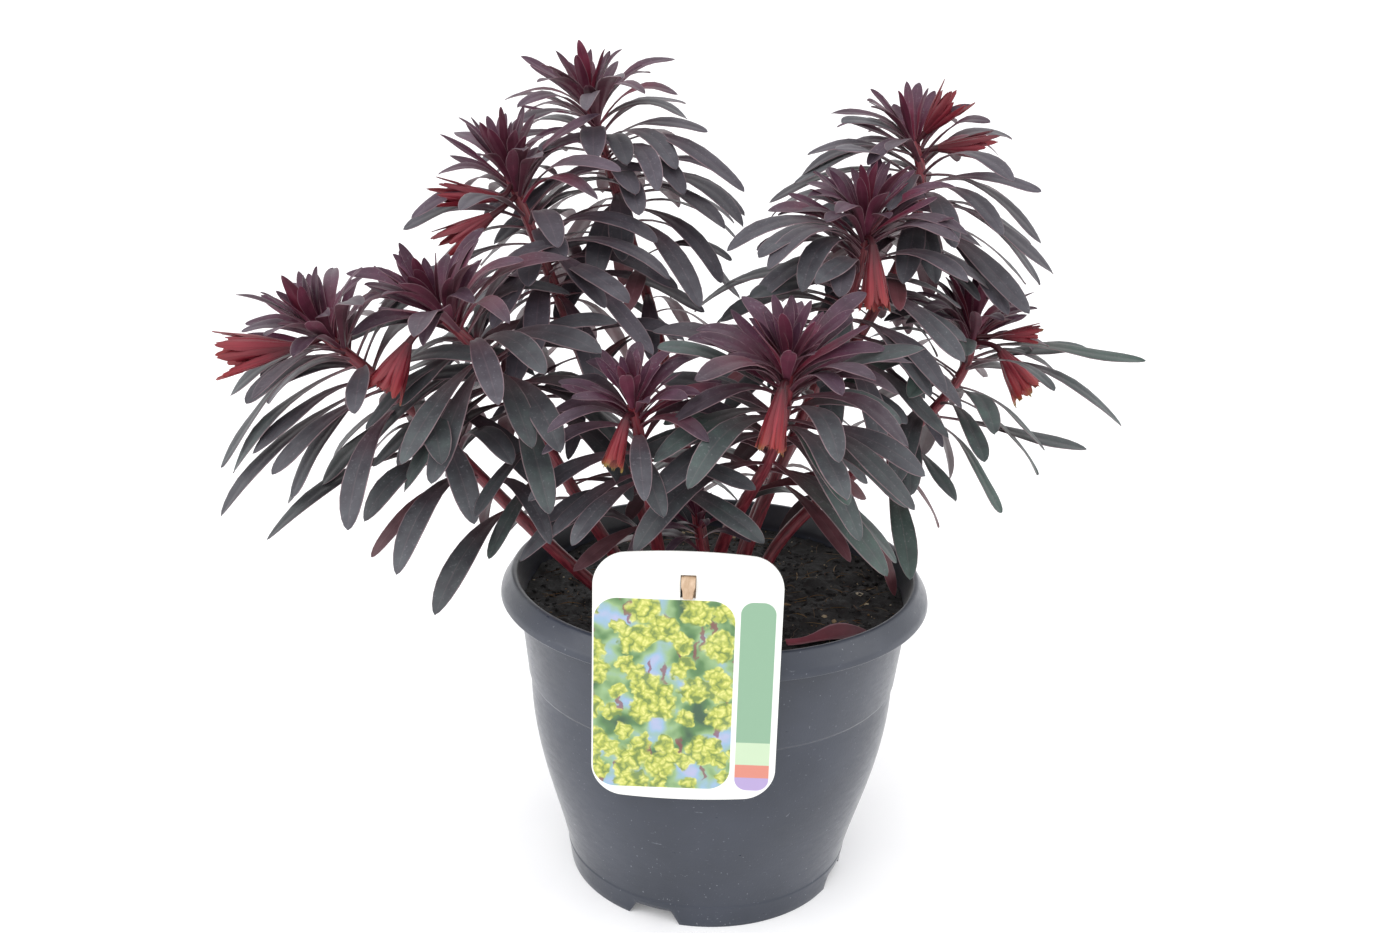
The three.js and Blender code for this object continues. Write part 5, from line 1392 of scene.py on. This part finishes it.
def lumps(count, size, flat, pale, rng):
    """Small uneven lumps: four rings of five points on a sphere, stretched and dented by draws."""
    ring = (np.linspace(0.16, 0.84, LUMP_RINGS) * np.pi)[:, None]
    around = np.linspace(0, 2 * np.pi, LUMP_SIDES, endpoint=False)
    ball = np.stack(np.broadcast_arrays(np.sin(ring) * np.cos(around), np.sin(ring) * np.sin(around),
                                        -np.cos(ring)), axis=-1)
    whole = rng.uniform(*size, (count, 1, 1, 1))
    sides = [rng.uniform(0.6, 1.3, count), rng.uniform(0.6, 1.3, count), np.full(count, flat)]
    radius = whole * np.stack(sides, axis=-1)[:, None, None]
    dents = rng.uniform(0.75, 1.2, (count, LUMP_RINGS, LUMP_SIDES, 1))
    spin = rng.uniform(0, 2 * np.pi, (count, 1, 1))
    x, y, z = np.moveaxis(ball * radius * dents, -1, 0)
    rings = np.stack([x * np.cos(spin) - y * np.sin(spin), x * np.sin(spin) + y * np.cos(spin), z], axis=-1)
    rings = rings + scattered(count, rng, size[1] + 1)[:, None, None]
    tint = np.column_stack([pale, rng.uniform(0, 1, count), np.zeros(count)])
    body = np.repeat(tint, LUMP_RINGS * LUMP_SIDES, axis=0)
    return tube(rings, kind=np.concatenate([body, np.repeat(tint, 2, axis=0)]))


def fibres(count, rng):
    """Thin three-sided strands, 4 to 14 mm long, in a low arch: the height falls by t^2 / 2 from the middle,
    and the strand curls aside by t^2."""
    middle = scattered(count, rng, 8)
    angle, half = rng.uniform(0, np.pi, count), rng.uniform(2, 7, count)
    t = np.linspace(-1, 1, STRAND_RINGS)[None, :, None]
    lean = np.stack([np.cos(angle), np.sin(angle), rng.uniform(-0.12, 0.2, count)], axis=-1)
    square = np.stack([-np.sin(angle), np.cos(angle), np.zeros(count)], axis=-1)
    curl = square * rng.uniform(-2, 2, (count, 1))
    line = middle[:, None] + lean[:, None] * half[:, None, None] * t
    line = line + curl[:, None] * t ** 2 + UP * (0.9 - 0.5 * t ** 2)
    across = square[:, None, None]
    corner = np.linspace(0, 2 * np.pi, STRAND_SIDES, endpoint=False)[None, None, :, None]
    thick = rng.uniform(0.12, 0.3, (count, 1, 1, 1)) * (1.05 - t ** 2)[..., None]
    rings = line[:, :, None] + thick * (across * np.cos(corner) + UP * np.sin(corner))
    tint = np.column_stack([rng.uniform(0.1, 0.9, count), rng.uniform(0, 0.7, count), np.zeros(count)])
    body = np.repeat(tint, STRAND_RINGS * STRAND_SIDES, axis=0)
    return tube(rings, kind=np.concatenate([body, np.repeat(tint, 2, axis=0)]))


rng = np.random.default_rng(LITTER_SEED)
litter = together([
    lumps(CRUMBS, (0.3, 1.5), 0.7, np.zeros(CRUMBS), rng),
    lumps(GRAINS, (0.25, 0.7), 0.6, rng.uniform(0.3, 0.9, GRAINS), rng),
    lumps(CHIPS, (0.9, 2.0), 0.3, np.full(CHIPS, 0.7), rng),
    fibres(FIBRES, rng),
])
place("compost_crumbs", to_mesh("compost_crumbs", litter), DAMP_PEAT, "compost")

# %% [markdown]
# The card is printed plastic, under a millimetre thick, with round corners and a slot for the pin. Its print
# here is our own: a white field, a panel of soft yellow-green flower heads and crimson stalks on blurred blue
# and green, and plain bars of pale green, mauve and salmon. There is no lettering on it. The print is worked
# out by nodes from the place on the card: Voronoi cells make round heads of small florets, and the same
# pattern, stretched upwards, makes stalks.

# %% Card finish
CARD_WIDTH = 72.5
CARD_LOW = 84.0
CARD_HIGH = 189.7
CARD_BULGE = 2.4
CARD_CORNER = 12.0
CARD_THICKNESS = 0.8
CARD_BACK_Y = -COLLAR_RADIUS - 0.4
PANEL = {"left": -45.5, "right": 8.5, "low": 89.0, "high": 170.0, "corner": 9.0}
BAR = {"left": 10.5, "right": 24.0, "low": 89.0, "high": 170.0, "corner": 5.0}
BLUR_COLOURS = [(0.3, "#3a5540"), (0.74, "#b3a9c9"), (0.42, "#557a4c"), (0.52, "#8aa878"), (0.62, "#8ba9c2")]
FLORET_COLOURS = [(0.05, "#d6d47c"), (0.75, "#6d8140"), (0.4, "#adb450")]
BAR_COLOURS = [(0.0, "#a796c0"), (1.0, "#a5bfa8"), (0.07, "#c98070"), (0.14, "#b9cdae"), (0.26, "#83a58a")]
CARD_WHITE, STALK_RED = linear("#e9eae6"), linear("#7a3748")
STALK_SCALE = (1 / 7, 1 / 30, 1.0)
FLORET_SIZE = 2.8
HEADS = [(17.0, 3.0), (10.0, 11.0)]


def rounded_box(tree, x, z, box):
    """1 inside a rounded box of the card and 0 outside. The box is first made smaller by the corner's radius,
    and what lies nearer to it than that radius is inside. Sizes are in millimetres."""
    middle_x, middle_z = (box["left"] + box["right"]) / 2, (box["low"] + box["high"]) / 2
    half_x = (box["right"] - box["left"]) / 2 - box["corner"]
    half_z = (box["high"] - box["low"]) / 2 - box["corner"]
    reach = []
    for value, middle, half in ((x, middle_x, half_x), (z, middle_z, half_z)):
        off = add(tree, "Math", {0: value, 1: middle}, operation="SUBTRACT")[0]
        size = add(tree, "Math", {0: off}, operation="ABSOLUTE")[0]
        over = add(tree, "Math", {0: size, 1: half}, operation="SUBTRACT")[0]
        reach.append(add(tree, "Math", {0: over, 1: 0.0}, operation="MAXIMUM")[0])
    both = add(tree, "CombineXYZ", {"X": reach[0], "Y": reach[1]})[0]
    length = add(tree, "VectorMath", {0: both}, operation="LENGTH")["Value"]
    return add(tree, "MapRange", {"Value": length, "From Min": box["corner"] + 0.1,
                                  "From Max": box["corner"] - 0.1})[0]


def card_finish():
    """Gloss print on white plastic. Its patterns read millimetres, so a scale is 1 over a size."""
    material, tree, shader = new_finish("printed plastic card")
    place_on = add(tree, "TexCoord")["Object"]
    in_mm = add(tree, "VectorMath", {0: place_on, 3: 1 / MM}, operation="SCALE")[0]
    axes = add(tree, "SeparateXYZ", {"Vector": in_mm})
    x, y, z = axes["X"], axes["Y"], axes["Z"]
    flat = add(tree, "CombineXYZ", {"X": x, "Y": z})[0]

    blur = add(tree, "TexNoise", {"Vector": flat, "Scale": 0.07, "Detail": 2.5})[0]
    colour = add(tree, "ValToRGB", {"Fac": blur}, BLUR_COLOURS)[0]
    drift = add(tree, "TexNoise", {"Vector": flat, "Scale": 0.25, "Detail": 2.0})["Color"]
    drift = add(tree, "VectorMath", {0: drift, 1: (0.5, 0.5, 0.5)}, operation="SUBTRACT")[0]
    drift = add(tree, "VectorMath", {0: drift, 3: 7.0}, operation="SCALE")[0]
    uneven = add(tree, "VectorMath", {0: flat, 1: drift}, operation="ADD")[0]
    upright = add(tree, "Mapping", {"Vector": uneven, "Scale": STALK_SCALE})[0]
    stalks = add(tree, "TexVoronoi", {"Vector": upright, "Scale": 1.0}, voronoi_dimensions="2D")
    stalks = add(tree, "MapRange", {"Value": stalks["Distance"], "From Min": 0.17, "From Max": 0.09,
                                    "To Max": 0.75}, **SMOOTH)[0]
    colour = add(tree, "Mix", {FACTOR: stalks, MIX_A: colour, MIX_B: STALK_RED}, **COLOURS)[MIX_OUT]
    florets = add(tree, "TexVoronoi", {"Vector": uneven, "Scale": 1 / FLORET_SIZE}, voronoi_dimensions="2D")
    yellow = add(tree, "ValToRGB", {"Fac": florets["Distance"]}, FLORET_COLOURS)[0]
    for size, aside in HEADS:
        shifted = add(tree, "VectorMath", {0: uneven, 1: (aside, aside * 2, 0)}, operation="ADD")[0]
        heads = add(tree, "TexVoronoi", {"Vector": shifted, "Scale": 1 / size, "Randomness": 0.85},
                    voronoi_dimensions="2D")
        heads = add(tree, "MapRange", {"Value": heads["Distance"], "From Min": 0.4, "From Max": 0.3,
                                       "To Max": 0.95}, **SMOOTH)[0]
        colour = add(tree, "Mix", {FACTOR: heads, MIX_A: colour, MIX_B: yellow}, **COLOURS)[MIX_OUT]

    up = add(tree, "MapRange", {"Value": z, "From Min": BAR["low"], "From Max": BAR["high"]})[0]
    bars = add(tree, "ValToRGB", {"Fac": up}, BAR_COLOURS)[0]
    bars.node.color_ramp.interpolation = "CONSTANT"
    panel = rounded_box(tree, x, z, PANEL)
    print_on = add(tree, "Mix", {FACTOR: panel, MIX_A: CARD_WHITE, MIX_B: colour}, **COLOURS)[MIX_OUT]
    bar = rounded_box(tree, x, z, BAR)
    print_on = add(tree, "Mix", {FACTOR: bar, MIX_A: print_on, MIX_B: bars}, **COLOURS)[MIX_OUT]
    printed = add(tree, "MapRange", {"Value": y, "From Min": CARD_BACK_Y - 0.5,
                                     "From Max": CARD_BACK_Y - 0.6})[0]
    sides = add(tree, "Mix", {FACTOR: printed, MIX_A: CARD_WHITE, MIX_B: print_on}, **COLOURS)[MIX_OUT]
    tree.links.new(sides, shader.inputs["Base Color"])
    shader.inputs["Roughness"].default_value = 0.32
    return material


PRINTED_CARD = card_finish()

# %% [markdown]
# The card could be a box with a Bevel modifier, but its upper and lower edges bulge a little between their
# round corners. So its front is a grid of columns, each as tall as the card is there, and its back is the
# same grid moved. A Boolean modifier cuts the slot.

# %% Card
SLOT_WIDTH = 5.9
SLOT_HEIGHT = 9.4
SLOT_TOP = 180.2
CARD_COLUMNS = 90
CARD_ROWS = 24


def card_edge(x):
    """The card's upper edge above its middle: a shallow parabola that bulges upwards, and a quarter-round
    fall over the last 12 mm."""
    half = CARD_WIDTH / 2
    bow = CARD_BULGE * (1 - (x / half) ** 2)
    over = np.clip((np.abs(x) - (half - CARD_CORNER)) / CARD_CORNER, 0, 1)
    fall = CARD_CORNER * (1 - np.sqrt(1 - over ** 2))
    return (CARD_HIGH - CARD_LOW) / 2 - CARD_BULGE + bow - fall


def card_shape():
    """Columns of points from the lower edge to the upper one, closer together at the round corners."""
    x = CARD_WIDTH / 2 * np.sin(np.linspace(-1, 1, CARD_COLUMNS) * np.pi / 2)
    reach = card_edge(x)
    z = (CARD_LOW + CARD_HIGH) / 2 + np.linspace(-1, 1, CARD_ROWS)[:, None] * reach
    grid = np.stack(np.broadcast_arrays(CARD_X + x, CARD_BACK_Y, z), axis=-1)[None]
    return sheet(np.flip(grid - [0, CARD_THICKNESS, 0], axis=1), np.flip(grid, axis=1))


def slot_cutter():
    """A block where the slot goes through."""
    x = CARD_X + np.array([-1, 1, 1, -1]) * SLOT_WIDTH / 2
    z = SLOT_TOP - np.array([SLOT_HEIGHT, SLOT_HEIGHT, 0, 0])
    y = CARD_BACK_Y + np.array([3.0, -4.0])[:, None]
    return tube(np.stack(np.broadcast_arrays(x, y, z), axis=-1)[None])


card = place("plant_card", to_mesh("plant_card", card_shape()), PRINTED_CARD, "printed_card", "label")
cut_out(card, slot_cutter())

# %% [markdown]
# The pin is a strip of tan plastic. It stands in the compost behind the card, bends over, passes through the
# slot and hooks down in front. A curve object with a flat bevel could make it, but a sheet along the same
# route can be thinner at its margins and narrower at its tip.

# %% Pin
PIN_WIDTH = 5.4
PIN_THICKNESS = 1.6
PIN_Y = -78.0
PIN_FOOT = 98.0
PIN_TIP_SHARE = 0.68
PIN_GRAIN = 1.2
PIN_COLOURS = [(0.3, "#a98a6c"), (0.7, "#c9b096")]


def pin_finish():
    """Tan moulded plastic with a faint lengthwise grain."""
    material, tree, shader = new_finish("tan moulded pin")
    place_on = add(tree, "TexCoord")["Object"]
    lengthwise = add(tree, "Mapping", {"Vector": place_on, "Scale": (1.0, 0.3, 0.3)})[0]
    grain = add(tree, "TexNoise", {"Vector": lengthwise, "Scale": per_metre(PIN_GRAIN), "Detail": 4.0})[0]
    colour = add(tree, "ValToRGB", {"Fac": grain}, PIN_COLOURS)[0]
    tree.links.new(colour, shader.inputs["Base Color"])
    bump = add(tree, "Bump", {"Height": grain, "Strength": 0.2, "Distance": 0.2 * MM})[0]
    tree.links.new(bump, shader.inputs["Normal"])
    shader.inputs["Roughness"].default_value = 0.5
    return material


def pin_shape():
    """A strip along the frame's route, eased at its corners. Its two faces lie w either side of the route,
    where w is half the thickness times 1 - 0.35 v^4, and it narrows evenly over the last three points."""
    hook = SLOT_TOP - PIN_THICKNESS / 2 - SOIL_GAP
    front = CARD_BACK_Y - CARD_THICKNESS
    route = eased([(PIN_Y, PIN_FOOT), (PIN_Y, hook - 14), (PIN_Y - 1.5, hook - 5), (PIN_Y - 6, hook - 0.6),
                   (front - 0.2, hook), (front - 2.2, hook - 2), (front - 2.4, hook - 7.5)], 4, steps=6)
    heading = unit(np.gradient(route, axis=0))
    normal = np.column_stack([heading[:, 1], -heading[:, 0]])
    tip = np.interp(np.arange(len(route)), [len(route) - 4, len(route) - 1], [1, PIN_TIP_SHARE])
    v = np.linspace(-1, 1, 7)
    bulge = PIN_THICKNESS / 2 * (1 - 0.35 * v ** 4)
    x = CARD_X + tip[:, None] * v * PIN_WIDTH / 2
    faces = []
    for way in (1, -1):
        y = route[:, :1] + way * normal[:, :1] * bulge
        z = route[:, 1:] + way * normal[:, 1:] * bulge
        faces.append(np.stack([x, y, z], axis=-1)[None])
    return sheet(*faces)


place("label_pin_strip", to_mesh("label_pin_strip", pin_shape()), pin_finish(), "pin_plastic", "label_pin")

# %% [markdown]
# One dry leaf has dropped on the compost to the right of the card. It is curled and reddish brown, and it
# keeps the place of its solid. The waxy leaf's finish serves it too, rougher and with its age given here.

# %% Dry leaf
DRY_FROM = np.array([31.0, -52.0])
DRY_TO = np.array([68.0, -38.0])
DRY_WIDTH = 11.0
DRY_PETIOLE = 0.3
DRY_LIFT = 0.9
DRY_THICKNESS = 0.5
DRY_KIND = [0.7, 0.3, 0.5]
DRY_BLUSH = [0.3, 0.7, 0.0]


def dry_leaf():
    """A blade over the soil. Its middle follows the ground, and at v across it both margins curl up by
    h (0.45 + 0.12 v) |v|^1.6, so one more than the other, with a wave sin(9 s + 2 v) on them."""
    s = ALONG[:, None]
    v = ACROSS[None]
    ahead = unit(DRY_TO - DRY_FROM)
    middle = DRY_FROM + (DRY_TO - DRY_FROM) * s
    half = np.maximum(DRY_WIDTH * width_share(s, DRY_PETIOLE, 0.6) / 2, 0.15)
    x = middle[:, :1] - ahead[1] * half * v
    y = middle[:, 1:] + ahead[0] * half * v
    ground = soil_height(middle[:, :1], middle[:, 1:]) + DRY_LIFT
    curl = half * (0.45 + 0.12 * v) * np.abs(v) ** 1.6 + 0.5 * np.sin(9 * s + 2 * v) * v ** 2
    top = np.stack([x, y, ground + curl + DRY_THICKNESS], axis=-1)[None]
    low = top - np.stack([0 * x, 0 * y, DRY_THICKNESS - 0.3 * v ** 2 + 0 * x], axis=-1)[None]
    spot = np.stack(np.broadcast_arrays(v, s, 0 * x), axis=-1)
    spots = np.stack([spot, spot + ON_BACK]).reshape(-1, 3)
    kind, blush = (np.tile(value, (len(spots), 1)) for value in (DRY_KIND, DRY_BLUSH))
    return sheet(top, low, blade=spots, kind=kind, blush=blush)


place("dry_leaf_blade", to_mesh("dry_leaf_blade", dry_leaf()), DRY_LEAF, "dry_leaf", "fallen_leaf")

# %% [markdown]
# The studio is a pale floor under a bright, even sky, as in a light tent, with a wide, soft sun above and a
# square lamp at each side. White light from everywhere gives the pot its bright flanks and keeps shadows
# faint. A single lamp would be simpler, but the dark leaves would merge into one black shape.

# %% Studio
SKY_STRENGTH = 1.15
SUN_STRENGTH = 0.9
SUN_SPREAD = np.radians(50)
SUN_FROM = (-0.25, -0.6, 0.85)
LAMP_SIZE = 1.0
LAMP_AIM = (0, 0, 0.2)

scene = bpy.context.scene
scene.view_settings.view_transform = "Standard"
world = bpy.data.worlds.new("light tent")
world.use_nodes = True
scene.world = world
sky = world.node_tree.nodes["Background"]
sky.inputs["Color"].default_value = linear("#ffffff")
sky.inputs["Strength"].default_value = SKY_STRENGTH

sun_data = bpy.data.lights.new("diffused sun", "SUN")
sun_data.energy = SUN_STRENGTH
sun_data.angle = SUN_SPREAD
sun = bpy.data.objects.new("diffused sun", sun_data)
sun.rotation_mode = "QUATERNION"
sun.rotation_quaternion = Vector(SUN_FROM).to_track_quat("Z", "Y")
scene.collection.objects.link(sun)


def soft_lamp(name, place_at, power):
    """A square area lamp that faces the middle of the plant."""
    data = bpy.data.lights.new(name, "AREA")
    data.size = LAMP_SIZE
    data.energy = power
    lamp = bpy.data.objects.new(name, data)
    backwards = unit(np.array(place_at, float) - LAMP_AIM)
    right = unit(np.cross(UP, backwards) + 1e-6)
    matrix = np.eye(4)
    matrix[:3, :3] = np.column_stack([right, np.cross(backwards, right), backwards])
    matrix[:3, 3] = place_at
    lamp.matrix_world = Matrix(matrix.tolist())
    scene.collection.objects.link(lamp)


soft_lamp("left lamp", (-1.4, -0.5, 0.7), 5)
soft_lamp("right lamp", (1.4, -0.3, 0.7), 4)
print("lights:", [light.name for light in bpy.data.lights])

# %% [markdown]
# A plane is floor enough. It reaches 90 m each way, so that its edge never shows, and it glows a little, so
# that it comes out nearly as white as the sky.

# %% Floor
FLOOR_REACH = 90.0
FLOOR_GLOW = 0.12
MOTTLING_SIZE = 30.0
PAPER_COLOURS = [(0.3, "#f0f0f2"), (0.7, "#f4f4f5")]


def floor_finish():
    """Pale seamless paper with the faintest mottling."""
    material, tree, shader = new_finish("pale seamless paper")
    place_on = add(tree, "TexCoord")["Object"]
    fibre = add(tree, "TexNoise", {"Vector": place_on, "Scale": per_metre(MOTTLING_SIZE), "Detail": 4.0})[0]
    tone = add(tree, "ValToRGB", {"Fac": fibre}, PAPER_COLOURS)[0]
    tree.links.new(tone, shader.inputs["Base Color"])
    shader.inputs["Roughness"].default_value = 0.9
    shader.inputs["Emission Color"].default_value = linear("#ffffff")
    shader.inputs["Emission Strength"].default_value = FLOOR_GLOW
    return material


corners = [(x * FLOOR_REACH, y * FLOOR_REACH, 0) for x, y in ((-1, -1), (1, -1), (1, 1), (-1, 1))]
floor_mesh = bpy.data.meshes.new("studio_floor")
floor_mesh.from_pydata(corners, [], [(0, 1, 2, 3)])
floor_mesh.materials.append(floor_finish())
floor = bpy.data.objects.new("studio_floor", floor_mesh)
scene.collection.objects.link(floor)
